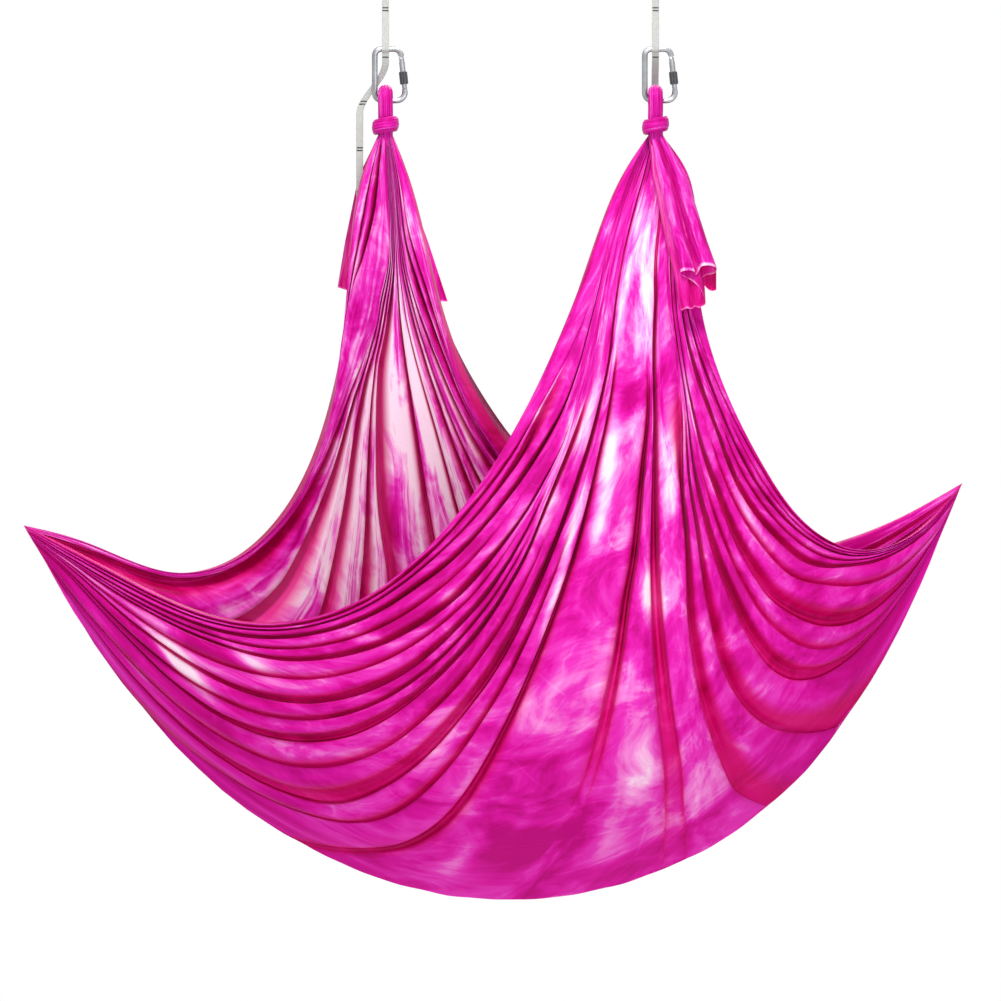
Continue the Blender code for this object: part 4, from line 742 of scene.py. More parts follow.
def dye_level(made, base_pale, bleed_strength):
    """How pale the dye is, and the creases and fine streaks, which the bump reads too."""
    place = add(made, "ShaderNodeUVMap", uv_map="cloth")
    pale = add(made, "ShaderNodeAttribute", attribute_name="pale", attribute_type="GEOMETRY")
    # Ragged dye: a soft noise bends the map, a second one reads it
    bend = add(made, "ShaderNodeTexNoise", {"Vector": place.outputs["UV"]},
               inputs={"Scale": 1 / BEND_SIZE, "Detail": 2.0})
    bent = add(made, "ShaderNodeMixRGB", {"Color1": place.outputs["UV"], "Color2": bend.outputs["Color"]},
               inputs={"Fac": BEND_SHARE})
    noise = add(made, "ShaderNodeTexNoise", {"Vector": bent.outputs[0]},
                inputs={"Scale": 1 / CLOUD_SIZE, "Detail": 5.0, "Roughness": 0.62, "Distortion": 0.6})
    ragged = add(made, "ShaderNodeMath", {0: noise.outputs["Fac"], 2: pale.outputs["Fac"]},
                 operation="MULTIPLY_ADD", inputs={1: CLOUD_RAGGEDNESS})
    # Dye that bled along the warp
    bleed_map = add(made, "ShaderNodeMapping", {"Vector": bent.outputs[0]},
                    inputs={"Scale": (1 / BLEED_WIDTH, 1 / BLEED_LENGTH, 1)})
    bleed = add(made, "ShaderNodeTexNoise", {"Vector": bleed_map.outputs[0]},
                inputs={"Scale": 1.0, "Detail": 4.0})
    bled = add(made, "ShaderNodeMath", {0: bleed.outputs["Fac"], 2: ragged.outputs[0]},
               operation="MULTIPLY_ADD", inputs={1: bleed_strength})
    # Veils: thin pale curves where folds lay on each other in the dye
    veil_noise = add(made, "ShaderNodeTexNoise", {"Vector": bent.outputs[0]},
                     inputs={"Scale": 1 / VEIL_SIZE, "Detail": 2.5, "Roughness": 0.45, "Distortion": 1.2})
    veil_side = add(made, "ShaderNodeMath", {0: veil_noise.outputs["Fac"]}, operation="SUBTRACT",
                    inputs={1: 0.5})
    veil_far = add(made, "ShaderNodeMath", {0: veil_side.outputs[0]}, operation="ABSOLUTE")
    veil = add(made, "ShaderNodeMapRange", {"Value": veil_far.outputs[0]},
               inputs={"From Min": 0.0, "From Max": VEIL_WIDTH, "To Min": VEIL_PALENESS, "To Max": 0.0})
    veiled = add(made, "ShaderNodeMath", {0: bled.outputs[0], 1: veil.outputs["Result"]}, operation="ADD")
    # Fine streaks along the warp
    fine_map = add(made, "ShaderNodeMapping", {"Vector": place.outputs["UV"]},
                   inputs={"Scale": (1, STREAK_SQUEEZE, 1)})
    fine = add(made, "ShaderNodeTexNoise", {"Vector": fine_map.outputs[0]},
               inputs={"Scale": 0.1 / THREAD_STREAK, "Detail": 3.0, "Roughness": 0.55})
    streaked = add(made, "ShaderNodeMath", {0: fine.outputs["Fac"], 2: veiled.outputs[0]},
                   operation="MULTIPLY_ADD", inputs={1: STREAK_STRENGTH})
    # Straight packing creases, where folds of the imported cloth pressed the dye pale
    creases = add(made, "ShaderNodeTexVoronoi", {"Vector": place.outputs["UV"]}, feature="DISTANCE_TO_EDGE",
                  inputs={"Scale": 1 / CREASE_SIZE})
    crease = add(made, "ShaderNodeMapRange", {"Value": creases.outputs["Distance"]},
                 inputs={"From Min": 0.0, "From Max": CREASE_WIDTH, "To Min": CREASE_PALENESS, "To Max": 0.0})
    creased = add(made, "ShaderNodeMath", {0: crease.outputs["Result"], 1: streaked.outputs[0]},
                  operation="ADD")
    level = add(made, "ShaderNodeMath", {0: creased.outputs[0]}, operation="SUBTRACT",
                inputs={1: NOISE_MIDDLE + 0.5 * bleed_strength - base_pale})
    return level, crease, fine


# %% Finish of the tricot
LIGHT_THROUGH = 0.28
# Painted crimson shade is full from this recess value on
PAINTED_SHADE_FULL = 0.55
CREASE_HEIGHT = 8.0


def tricot(name, base_pale, bleed_strength):
    made, surface = new_material(name)
    level, crease, fine = dye_level(made, base_pale, bleed_strength)
    dye = add(made, "ShaderNodeValToRGB", {"Fac": level.outputs[0]}, ramp=[
        (0.0, colour("#bc0278")), (0.22, colour("#d8149e")), (0.42, colour("#e33ab8")),
        (0.70, colour("#f290d8")), (1.0, colour("#f8e0ef"))])
    # Painted shade: the recess value darkens the dye towards crimson (the node deep), standing in for light
    # that bounces between magenta walls
    recess = add(made, "ShaderNodeAttribute", attribute_name="recess", attribute_type="GEOMETRY")
    painted_shade_share = add(made, "ShaderNodeMapRange", {"Value": recess.outputs["Fac"]},
                    inputs={"From Min": 0.0, "From Max": PAINTED_SHADE_FULL, "To Min": 0.0, "To Max": 1.0})
    deep = add(made, "ShaderNodeMixRGB", {"Fac": painted_shade_share.outputs["Result"], "Color1": dye.outputs["Color"]},
               inputs={"Color2": colour("#ec4c9e")}, blend_type="MULTIPLY")
    feed(made, deep.outputs[0], surface, "Base Color")
    surface.inputs["Roughness"].default_value = 0.38
    surface.inputs["IOR"].default_value = 1.53
    surface.inputs["Specular Tint"].default_value = colour("#e45cf0")
    surface.inputs["Sheen Weight"].default_value = 0.08
    surface.inputs["Sheen Roughness"].default_value = 0.35
    surface.inputs["Sheen Tint"].default_value = colour("#f4a8ff")
    height = add(made, "ShaderNodeMath", {0: crease.outputs["Result"], 2: fine.outputs["Fac"]},
                 operation="MULTIPLY_ADD", inputs={1: CREASE_HEIGHT})
    bump = add(made, "ShaderNodeBump", {"Height": height.outputs[0]},
               inputs={"Strength": 0.3, "Distance": 0.002})
    feed(made, bump.outputs["Normal"], surface, "Normal")
    # The cloth is thin, so some light comes through it
    through = add(made, "ShaderNodeBsdfTranslucent", {"Color": deep.outputs[0]})
    mix = add(made, "ShaderNodeMixShader", {1: surface.outputs[0], 2: through.outputs[0]},
              inputs={0: LIGHT_THROUGH})
    feed(made, mix.outputs[0], made.node_tree.nodes["Material Output"], "Surface")
    return made


magenta_tricot = tricot("magenta_tie_dyed_tricot", 0.0, 0.35)
pale_tricot = tricot("pale_side_of_the_tricot", 0.16, 1.6)
print("two sides of the tricot")

# %% Front and back panels
FRONT_NECK = (SIDES["right"], NECK_SETBACK, NECK_Z)
BACK_NECK = (SIDES["left"], -NECK_SETBACK, NECK_Z)

front = panel("front_panel", FRONT_GUIDES, FRONT_RECESSES, FRONT_NECK, 0.0, FRONT_CLOUDS, 3,
              magenta_tricot, FRONT_PAINTED_SHADE_POWER)
back = panel("back_panel", BACK_GUIDES, BACK_RECESSES, BACK_NECK, 0.5, BACK_CLOUDS, 11,
             pale_tricot, BACK_PAINTED_SHADE_POWER)
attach(front, "hammock")
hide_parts("cloth_front_panel", "cloth_front_gather")
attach(back, "hammock")
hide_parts("cloth_back_panel", "cloth_back_gather")

# %% [markdown]
# ## Free ends
# Beyond the neck, each short end of the cloth hangs down beside its gather, the left one behind it and
# the right one in front. Its cut edge shows how the cloth lies: it runs forward and back in rolled tubes
# and flaps. So each free end is built up from its edge, a list of places across the end, depths and
# levels, and every warp line runs from the neck to its own point of the edge.

# %% Edges and outlines of the free ends
# Share of the way across, how far forward (metres), and level of the cut edge (metres)
RIGHT_END_EDGE = [
    (.02, -.012, -.820), (.06, -.003, -.821), (.20, 0, -.817), (.34, -.002, -.818), (.42, -.008, -.814),
    (.52, -.002, -.816), (.62, -.004, -.813), (.71, -.010, -.808), (.66, -.004, -.790), (.60, 0, -.778),
    (.45, .002, -.764), (.30, .004, -.756), (.17, .008, -.749), (.24, .016, -.743), (.38, .018, -.742),
    (.50, .012, -.745), (.53, .004, -.750), (.60, .008, -.742), (.70, .018, -.733), (.85, .020, -.732),
    (.97, .014, -.735), (1, .006, -.742), (.93, -.002, -.748), (.80, -.004, -.750), (.68, -.006, -.756),
    (.74, -.012, -.774), (.90, -.014, -.782), (1, -.014, -.780),
]
LEFT_END_EDGE = [
    (0, .004, -.772), (.04, -.002, -.774), (.09, -.004, -.777), (.13, .006, -.775), (.2, .012, -.78),
    (.3, .002, -.79), (.4, .012, -.785), (.5, .002, -.79), (.6, .012, -.785), (.7, .002, -.79),
    (.78, .010, -.795), (.85, .010, -.797), (.90, 0, -.799), (.94, .006, -.8), (1, .002, -.8),
]
# Level, left and right limit, and how far forward the end hangs, all in metres
RIGHT_END_OUTLINE = [(-.5515, .262, .331, .036), (-.681, .288, .371, .060), (-.735, .300, .390, .072),
                     (-.82, .317, .390, .082)]
LEFT_END_OUTLINE = [(-.5515, -.325, -.232, -.030), (-.681, -.352, -.185, -.052), (-.80, -.372, -.146, -.064)]

# %% Build a free end
END_ROWS = 70
END_COLUMNS = 260
# Places across are shares, so they are scaled to metres while the edge is made a smooth curve
END_WIDTH = 0.08
# The dye stayed off the cut edge
CUT_EDGE = 0.004
CUT_PALENESS = 0.6
# The tubes and flaps are this flat at the neck, and open halfway down
CLOSED_DEPTH_SHARE = 0.4
OPEN_FROM = 0.5
# Painted crimson shade where the end lies further back: its most, and the share of the foremost place behind
# which it starts
END_PAINTED_SHADE = 0.7
END_PAINTED_SHADE_START = 0.6


def free_end(name, edge, outline, neck, cloud_list, finish):
    edge = np.array(edge)
    across, forward, level = smooth_curve(edge * [END_WIDTH, 1, 1], np.linspace(0, 1, END_COLUMNS)).T
    across = across / END_WIDTH
    rows = np.linspace(0, 1, END_ROWS)[:, None]
    heights = neck[2] + (level - neck[2]) * rows
    top = (neck[2], neck[0] - BUNDLE_WIDTH / 2, neck[0] + BUNDLE_WIDTH / 2, -neck[1])
    levels, *sides = np.array([top, *outline]).T[:, ::-1]
    left, right, ahead = (np.interp(heights, levels, side) for side in sides)
    openness = CLOSED_DEPTH_SHARE + (1 - CLOSED_DEPTH_SHARE) * np.clip(rows / OPEN_FROM, 0, 1)
    points = np.stack([left + (right - left) * across, -ahead - forward * openness, heights], axis=-1)
    uv = np.stack(np.broadcast_arrays(np.linspace(0, CLOTH_WIDTH, END_COLUMNS)[None, :],
                                      -rows * (CLOTH_LENGTH / 2 - DROP)), axis=-1)
    pale = clouds(np.broadcast_to(across, heights.shape), np.broadcast_to(rows, heights.shape), cloud_list)
    pale += np.where(heights < level + CUT_EDGE, CUT_PALENESS, 0.0)
    # Painted shade: the dye is darkened towards crimson where the end lies further back
    behind = (END_PAINTED_SHADE_START * forward.max() - forward) / (forward.max() - forward.min())
    painted_recess_shade = np.broadcast_to(END_PAINTED_SHADE * np.clip(behind, 0, 1), heights.shape)
    return sheet_object(name, points, uv, {"pale": pale, "recess": painted_recess_shade}, finish)


# %% Make the free ends
right_end = free_end("free_end_right", RIGHT_END_EDGE, RIGHT_END_OUTLINE,
                     (SIDES["right"], -NECK_SETBACK, NECK_Z),
                     [(.15, .5, .2, .4, .3), (.85, .5, .1, .4, .3)], magenta_tricot)
left_end = free_end("free_end_left", LEFT_END_EDGE, LEFT_END_OUTLINE,
                    (SIDES["left"], NECK_SETBACK, NECK_Z),
                    [(.06, .8, .1, .3, .4)], magenta_tricot)
for piece, node in ((right_end, "cloth_tail_right"), (left_end, "cloth_tail_left")):
    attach(piece, "hammock")
    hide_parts(node)
print("free ends ready")

# %% [markdown]
# ## Neck and choking turn
# Above the gathers the cloth is a rope: it comes up, lies in the lower carabiner's basket, and goes down
# again, and one turn of cloth chokes both legs. A rope of gathered cloth has no strands but long folds,
# so each ring of points is an oval with small notches that wander slowly as they run along the rope.

# %% Rope of gathered cloth
ROD_RADIUS = 0.006
# Where the two legs are pulled together under the basket, and how far they run on inside the gathers
LEG_SHARES = (0.35, 0.6, 0.8, 1.0)
PULL_START_SHARE = 0.1
PULL_END_SHARE = 0.7
LEG_HIDDEN = 0.022
ROPE_NOTCHES = 13
ROPE_NOTCH_DEPTH = 0.22
ROPE_SIDES = 156
ROPE_STEPS = 90
ROPE_CLOTH = 0.25
# The ends shrink, so that they stay inside the gathers: from here on, counted from the middle
END_SHRINK = 0.35
SHRINK_FROM = 0.42
SHRINK_REACH = 0.08
# Folds round a rope are waves of different counts, with narrow notches for a low power
FOLD_WAVES = 3
FOLD_POWER = 0.6
FOLD_DRIFT = 1.5
FOLD_WANDER = 0.5
FOLD_TWIST = 0.25


def smooth_step(value, start, end):
    share = np.clip((value - start) / (end - start), 0, 1)
    return share * share * (3 - 2 * share)


def notched(angle, run, notches, depth, seed):
    """Radius share round a rope: folds with narrow notches between them, which wander along the run."""
    random = np.random.default_rng(seed)
    total = np.zeros(np.broadcast(angle, run).shape)
    for k in range(FOLD_WAVES):
        drift = random.uniform(-FOLD_DRIFT, FOLD_DRIFT) * run
        sway = np.sin(2 * np.pi * (run * random.uniform(1, 2.5) + random.uniform()))
        wander = drift + FOLD_WANDER * sway
        wave = np.sin((notches + 4 * k) / 2 * (angle + wander * FOLD_TWIST) + random.uniform(0, 6))
        total += np.abs(wave) ** FOLD_POWER / FOLD_WAVES
    return 1 - depth * (1 - total)


def rope_object(name, centre, side_a, side_b, radii, closed, finish, cloth_run):
    """A tube round the centre points: side_a and side_b are the directions of its oval's two radii."""
    count, sides = radii.shape[:2]
    angle = np.linspace(0, 2 * np.pi, sides, endpoint=False)
    points = (centre[:, None] + side_a[:, None] * (radii[..., 0] * np.cos(angle))[..., None]
              + side_b[:, None] * (radii[..., 1] * np.sin(angle))[..., None])
    index = np.arange(count * sides).reshape(count, sides)
    around = np.roll(index, -1, axis=1)
    rows = index if not closed else np.vstack([index, index[:1]])
    around = around if not closed else np.vstack([around, around[:1]])
    quads = np.stack([rows[:-1], around[:-1], around[1:], rows[1:]], axis=-1).reshape(-1, 4)
    mesh = bpy.data.meshes.new(name)
    mesh.from_pydata(points.reshape(-1, 3).tolist(), [], quads.tolist())
    run = np.linspace(0, cloth_run, rows.shape[0])
    turn = np.linspace(0, CLOTH_WIDTH, sides + 1)
    uv = np.empty((rows.shape[0] - 1, sides, 4, 2), np.float32)
    uv[..., 0, :] = np.stack(np.broadcast_arrays(turn[None, :-1], run[:-1, None]), -1)
    uv[..., 1, :] = np.stack(np.broadcast_arrays(turn[None, 1:], run[:-1, None]), -1)
    uv[..., 2, :] = np.stack(np.broadcast_arrays(turn[None, 1:], run[1:, None]), -1)
    uv[..., 3, :] = np.stack(np.broadcast_arrays(turn[None, :-1], run[1:, None]), -1)
    mesh.uv_layers.new(name="cloth").data.foreach_set("uv", uv.ravel())
    pale = mesh.attributes.new("pale", "FLOAT", "POINT")
    pale.data.foreach_set("value", np.zeros(count * sides, np.float32))
    shape = bmesh.new()
    shape.from_mesh(mesh)
    if not closed:
        bmesh.ops.holes_fill(shape, edges=shape.edges, sides=0)
    bmesh.ops.recalc_face_normals(shape, faces=shape.faces)
    shape.to_mesh(mesh)
    shape.free()
    mesh.shade_smooth()
    mesh.materials.append(finish)
    made = bpy.data.objects.new(name, mesh)
    bpy.context.scene.collection.objects.link(made)
    return made


def neck(name, x, seed):
    bend = ROD_RADIUS + GAP + BUNDLE_DEPTH / 2
    leg = []
    for share in LEG_SHARES:
        pull = float(smooth_step(share, PULL_START_SHARE, PULL_END_SHARE))
        leg.append((bend + (NECK_SETBACK - bend) * pull, -NECK_LENGTH * share))
    leg.append((NECK_SETBACK, -NECK_LENGTH - LEG_HIDDEN))
    arch = [(bend * math.cos(a), bend * math.sin(a)) for a in np.linspace(math.pi, 0, 9)]
    line = np.array([(-y, z) for y, z in reversed(leg)] + arch + leg)
    path = smooth_curve(line, np.linspace(0, 1, ROPE_STEPS))
    step = np.gradient(path, axis=0)
    step /= np.linalg.norm(step, axis=1)[:, None]
    centre = np.stack([np.full(len(path), x), path[:, 0], path[:, 1] + BASKET_Z], axis=1)
    side_a = np.tile([1.0, 0.0, 0.0], (len(path), 1))
    side_b = np.stack([np.zeros(len(path)), -step[:, 1], step[:, 0]], axis=1)
    run = np.linspace(0, 1, ROPE_STEPS)[:, None]
    angle = np.linspace(0, 2 * np.pi, ROPE_SIDES, endpoint=False)[None, :]
    folds = notched(angle, run, ROPE_NOTCHES, ROPE_NOTCH_DEPTH, seed)
    shrink = 1 - END_SHRINK * np.clip((np.abs(run - 0.5) - SHRINK_FROM) / SHRINK_REACH, 0, 1)
    radii = np.stack([folds * BUNDLE_WIDTH / 2 * shrink, folds * BUNDLE_DEPTH / 2 * shrink], axis=-1)
    return rope_object(name, centre, side_a, side_b, radii, False, magenta_tricot, ROPE_CLOTH)


# %% Choking turn
CHOKE_DROP = 0.050
CHOKE_HEIGHT = 0.030
CHOKE_THICKNESS = 0.012
CHOKE_SLANT = 0.004
CHOKE_NOTCHES = 7
CHOKE_NOTCH_DEPTH = 0.30
CHOKE_SIDES = 72
CHOKE_CLOTH = 0.16
# The turn reaches from leg to leg, and crosses between them this steeply
CHOKE_CROSSING = 6
# Its folds wander by this much of a turn, and it bulges a little where it is pressed
CHOKE_WANDER = 0.3
CHOKE_BULGE = 1.05


def choking_turn(name, x, seed):
    half_x = BUNDLE_WIDTH / 2 + GAP + CHOKE_THICKNESS / 2
    half_y = BUNDLE_DEPTH / 2 + GAP + CHOKE_THICKNESS / 2
    turn = np.linspace(0, 2 * np.pi, ROPE_STEPS, endpoint=False)
    out = np.stack([np.cos(turn), np.sin(turn), np.zeros(len(turn))], axis=1)
    reach = NECK_SETBACK * np.tanh(np.sin(turn) * CHOKE_CROSSING)
    centre = np.stack([x + half_x * out[:, 0], half_y * out[:, 1] + reach,
                       BASKET_Z - CHOKE_DROP + CHOKE_SLANT * out[:, 0]], axis=1)
    up = np.tile([0.0, 0.0, 1.0], (len(turn), 1))
    run = (turn / (2 * np.pi))[:, None]
    angle = np.linspace(0, 2 * np.pi, CHOKE_SIDES, endpoint=False)[None, :]
    sway = CHOKE_WANDER * np.sin(2 * np.pi * run)
    folds = notched(angle, sway, CHOKE_NOTCHES, CHOKE_NOTCH_DEPTH, seed)
    radii = np.stack([folds * CHOKE_THICKNESS / 2 * CHOKE_BULGE, folds * CHOKE_HEIGHT / 2], axis=-1)
    return rope_object(name, centre, out, up, radii, True, magenta_tricot, CHOKE_CLOTH)


# %% Make the necks
NECK_SEEDS = {"left": 21, "right": 22}
TURN_SEEDS = {"left": 31, "right": 32}

neck_pieces = {}
for side, x in SIDES.items():
    neck_pieces[side] = [neck("rope_" + side, x, NECK_SEEDS[side]),
                         choking_turn("choking_turn_" + side, x, TURN_SEEDS[side])]
    for piece, node in zip(neck_pieces[side], ("cloth_neck_" + side, "cloth_choke_" + side)):
        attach(piece, "hammock")
        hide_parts(node)
print("necks ready")

# %% [markdown]
# ## One cloth
# The four sheets and the ropes are one cloth of 2.8 by 4 metres. The neck and the bottom fold cross it on
# curves, so the half between them is no rectangle: its flat area is the width times the mean length of its
# warp lines. This cell only measures the lengths of each half's warp lines on the smooth sheet.

WARP_ROWS = 101


def warp_lengths(guides, neck):
    plain = even_sheet(guides, neck, np.linspace(0, 1, WARP_ROWS))
    return np.linalg.norm(np.diff(plain, axis=0), axis=2).sum(0)


for piece, guides, start, others in (
        (front, FRONT_GUIDES, FRONT_NECK, [right_end, *neck_pieces["right"]]),
        (back, BACK_GUIDES, BACK_NECK, [left_end, *neck_pieces["left"]])):
    warps = warp_lengths(guides, start)

# %% [markdown]
# ## Daisy-chain straps
# A daisy chain is one webbing folded over the upper carabiner and sewn to itself at even steps, so that
# it has a row of pockets. The lower carabiner hangs in one of them and the rest hangs free. The webbing
# is a flat band, so its section, a rectangle with rounded edges, is carried along the path. Dark bar
# tacks hold the two layers together, and the last one ends in three bars.

# %% Sizes of a strap
SWING_Z = -0.097
STRAP_WIDTH = 0.014
STRAP_THICKNESS = 0.0022
WEB_THICKNESS = 0.0019
EDGE_SHARE = 0.35
POCKET_PITCH = 0.093
POCKET_SWELL = 0.0012
FIRST_TACK_DROP = 0.027
TACK_LENGTH = 0.010
TACKS = [FIRST_TACK_DROP + i * POCKET_PITCH for i in range(6)]
LOADED_TACK = 1
STRAP_REACH = 0.1995
FREE_LENGTH = 0.305
STRAP_END = STRAP_REACH + FREE_LENGTH
# The top loop closes by this drop, and the loaded pocket lies round the lower rod up to this angle
LOOP_DROP = 0.011
WRAP_ANGLE = math.radians(60)
POCKET_STEPS = 12
# How far each free length is led back and aside, and over which drop
SETBACKS = {"left": (0.019, -0.052), "right": (0.047, 0.0)}
BACK_DROPS = (0.0085, 0.069)
ASIDE_DROPS = (0.026, 0.129)

# %% Path of the webbing
def strap_side():
    """Half the strap seen from its edge: distance from the middle and height, from the top loop down."""
    round_rod = ROD_RADIUS + GAP + STRAP_THICKNESS / 2
    flat = STRAP_THICKNESS / 2
    loop = [(round_rod * math.cos(a), round_rod * math.sin(a)) for a in np.linspace(math.pi / 2, 0, 10)]
    line = loop + [(flat + (round_rod - flat) * 0.5, -LOOP_DROP),
                   (flat, -FIRST_TACK_DROP + TACK_LENGTH / 2)]
    upper_end = TACKS[LOADED_TACK] + TACK_LENGTH / 2
    for a, b in ((0, 1), (2, 3), (3, 4), (4, 5)):
        start, end = TACKS[a] + TACK_LENGTH / 2, TACKS[b] - TACK_LENGTH / 2
        if a == 2:
            line += [(flat, -upper_end + TACK_LENGTH), (flat, -upper_end)]
            line += [(flat + (round_rod - flat) * share, -upper_end - (STRAP_REACH - upper_end) * share)
                     for share in (0.25, 0.5, 0.75)]
            line += [(round_rod * math.cos(t), -STRAP_REACH + round_rod * math.sin(t))
                     for t in np.linspace(0, -WRAP_ANGLE, 7)]
            line += [(flat, -STRAP_REACH - FIRST_TACK_DROP + TACK_LENGTH), (flat, -start)]
        line += [(flat + POCKET_SWELL * math.sin(math.pi * i / POCKET_STEPS),
                  -start + (start - end) * i / POCKET_STEPS) for i in range(POCKET_STEPS + 1)]
    line.append((flat, -STRAP_END))
    return line


def web_section(width, thickness):
    """A rectangle with rounded edges: pairs across and through."""
    edge = thickness * EDGE_SHARE
    corners = [(-width / 2, -thickness / 2 + edge), (-width / 2 + edge, -thickness / 2)]
    corners += [(x, -thickness / 2) for x in np.linspace(-width / 3, width / 3, 5)]
    corners += [(width / 2 - edge, -thickness / 2), (width / 2, -thickness / 2 + edge)]
    return corners + [(-x, -y) for x, y in corners]


# %% Webbing along its path
SHARP_ANGLE = math.radians(40)


def strap():
    """The section carried along the path, with a map of the webbing in metres for its weave."""
    half = strap_side()
    path = [(-y, z) for y, z in reversed(half)] + half[1:]
    shape = bmesh.new()
    rings, lengths = [], [0.0]
    section = web_section(STRAP_WIDTH, WEB_THICKNESS)
    for i, (y, z) in enumerate(path):
        before, after = path[max(i - 1, 0)], path[min(i + 1, len(path) - 1)]
        along_y, along_z = after[0] - before[0], after[1] - before[1]
        size = math.hypot(along_y, along_z) or 1.0
        out_y, out_z = along_z / size, -along_y / size
        if i:
            lengths.append(lengths[-1] + math.dist(path[i - 1], path[i]))
        rings.append([shape.verts.new((a, y + out_y * b, z + out_z * b)) for a, b in section])
    place = shape.loops.layers.uv.new("webbing")
    count = len(section)
    for i in range(len(rings) - 1):
        for j in range(count):
            k = (j + 1) % count
            face = shape.faces.new((rings[i][j], rings[i][k], rings[i + 1][k], rings[i + 1][j]))
            for loop, at, run in zip(face.loops, (j, k, k, j), (i, i, i + 1, i + 1)):
                loop[place].uv = (section[at][0], lengths[run])
    shape.faces.new(rings[0])
    shape.faces.new(rings[-1])
    bmesh.ops.recalc_face_normals(shape, faces=shape.faces)
    print("webbing", round(lengths[-1], 3), "m long")
    return shape


def hang(shape, side, x):
    """Lead the free length aside and move the strap to its place."""
    setback, sidestep = SETBACKS[side]
    for vertex in shape.verts:
        below = -STRAP_REACH - vertex.co.z
        if below > 0:
            vertex.co.y += setback * float(smooth_step(below, *BACK_DROPS))
            vertex.co.x += sidestep * float(smooth_step(below, *ASIDE_DROPS))
    shape.transform(Matrix.Translation((x, 0, SWING_Z)))


def finished(name, shape, finish):
    """A mesh object of a bmesh shape, smooth but for its sharp edges."""
    mesh = bpy.data.meshes.new(name)
    shape.to_mesh(mesh)
    shape.free()
    mesh.materials.append(finish)
    mesh.shade_smooth()
    mesh.set_sharp_from_angle(angle=SHARP_ANGLE)
    made = bpy.data.objects.new(name, mesh)
    bpy.context.scene.collection.objects.link(made)
    return made

# %% Bar tacks
BAR_HEIGHT = 0.0022
BAR_WIDTH = 0.0122
BAR_PROUD = 0.0004
BAR_EDGE = 0.0003
BAR_CELL = 0.002
# A tack is two bars, and the last one three
TACK_BARS = (-0.0028, 0.0028)
LAST_BARS = (-0.0075, 0.0005, 0.0085)


def bar_tacks():
    shape = bmesh.new()
    bars = [tack + offset for tack in TACKS for offset in (LAST_BARS if tack == TACKS[-1] else TACK_BARS)]
    for drop in bars:
        made = bmesh.ops.create_cube(shape, size=1.0)["verts"]
        size = (BAR_WIDTH, STRAP_THICKNESS * 2 + 2 * BAR_PROUD, BAR_HEIGHT)
        bmesh.ops.scale(shape, vec=size, verts=made)
        edges = list(dict.fromkeys(e for v in made for e in v.link_edges))
        bmesh.ops.translate(shape, vec=(0, 0, -drop), verts=made)
        bmesh.ops.bevel(shape, geom=edges, offset=BAR_EDGE, segments=2, profile=0.5, affect="EDGES",
                        material=-1)
    long_edges = [e for e in shape.edges if e.calc_length() > BAR_CELL]
    bmesh.ops.subdivide_edges(shape, edges=long_edges, cuts=3, use_grid_fill=True)
    bmesh.ops.recalc_face_normals(shape, faces=shape.faces)
    print(len(bars), "bars")
    return shape

# %% [markdown]
# Webbing is woven polyester: pale grey yarns in rows of small chevrons, with a round edge. Thread spacing
# is about 1.2 mm, drawn a little coarser here so that it shows. The tacks are dense dark thread.

# %% Webbing and thread materials
# A wave texture of scale 1 has a band every 0.314 m
WAVE_BAND = 0.314
WEAVE_PITCH = 0.0014
STITCH_PITCH = 0.0007

webbing, surface = new_material("pale_polyester_webbing")
place = add(webbing, "ShaderNodeUVMap", uv_map="webbing")
ribs = add(webbing, "ShaderNodeTexWave", {"Vector": place.outputs["UV"]}, wave_type="BANDS",
           bands_direction="DIAGONAL",
           inputs={"Scale": WAVE_BAND / WEAVE_PITCH, "Distortion": 0.6, "Detail": 1.0})
rows_of = add(webbing, "ShaderNodeTexWave", {"Vector": place.outputs["UV"]}, wave_type="BANDS",
              bands_direction="Y", inputs={"Scale": WAVE_BAND / WEAVE_PITCH, "Distortion": 0.4})
weave = add(webbing, "ShaderNodeMath", {0: ribs.outputs["Fac"], 1: rows_of.outputs["Fac"]},
            operation="MULTIPLY")
tone = add(webbing, "ShaderNodeValToRGB", {"Fac": weave.outputs[0]},
           ramp=[(0.0, colour("#8f918e")), (0.6, colour("#bdbeba")), (1.0, colour("#d9d9d5"))])
feed(webbing, tone.outputs["Color"], surface, "Base Color")
surface.inputs["Roughness"].default_value = 0.72
surface.inputs["IOR"].default_value = 1.55
surface.inputs["Sheen Weight"].default_value = 0.2
relief = add(webbing, "ShaderNodeBump", {"Height": weave.outputs[0]},
             inputs={"Strength": 0.6, "Distance": 0.0004})
feed(webbing, relief.outputs["Normal"], surface, "Normal")

thread, surface = new_material("black_bonded_thread")
place = add(thread, "ShaderNodeTexCoord")
stitches = add(thread, "ShaderNodeTexWave", {"Vector": place.outputs["Object"]}, wave_type="BANDS",
               bands_direction="X", inputs={"Scale": WAVE_BAND / STITCH_PITCH, "Distortion": 0.8})
tone = add(thread, "ShaderNodeValToRGB", {"Fac": stitches.outputs["Fac"]},
           ramp=[(0.0, colour("#0c0c0e")), (1.0, colour("#2b2b2f"))])
feed(thread, tone.outputs["Color"], surface, "Base Color")
surface.inputs["Roughness"].default_value = 0.6
relief = add(thread, "ShaderNodeBump", {"Height": stitches.outputs["Fac"]},
             inputs={"Strength": 0.7, "Distance": 0.0003})
feed(thread, relief.outputs["Normal"], surface, "Normal")
print("webbing and thread finishes ready")

# %% Make the straps
for side, x in SIDES.items():
    shape = strap()
    hang(shape, side, x)
    web = finished("daisy_chain_webbing_" + side, shape, webbing)
    shape = bar_tacks()
    hang(shape, side, x)
    tacks = finished("bar_tacks_" + side, shape, thread)
    for piece in (web, tacks):
        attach(piece, "straps")
    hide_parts("daisy_chain_" + side)
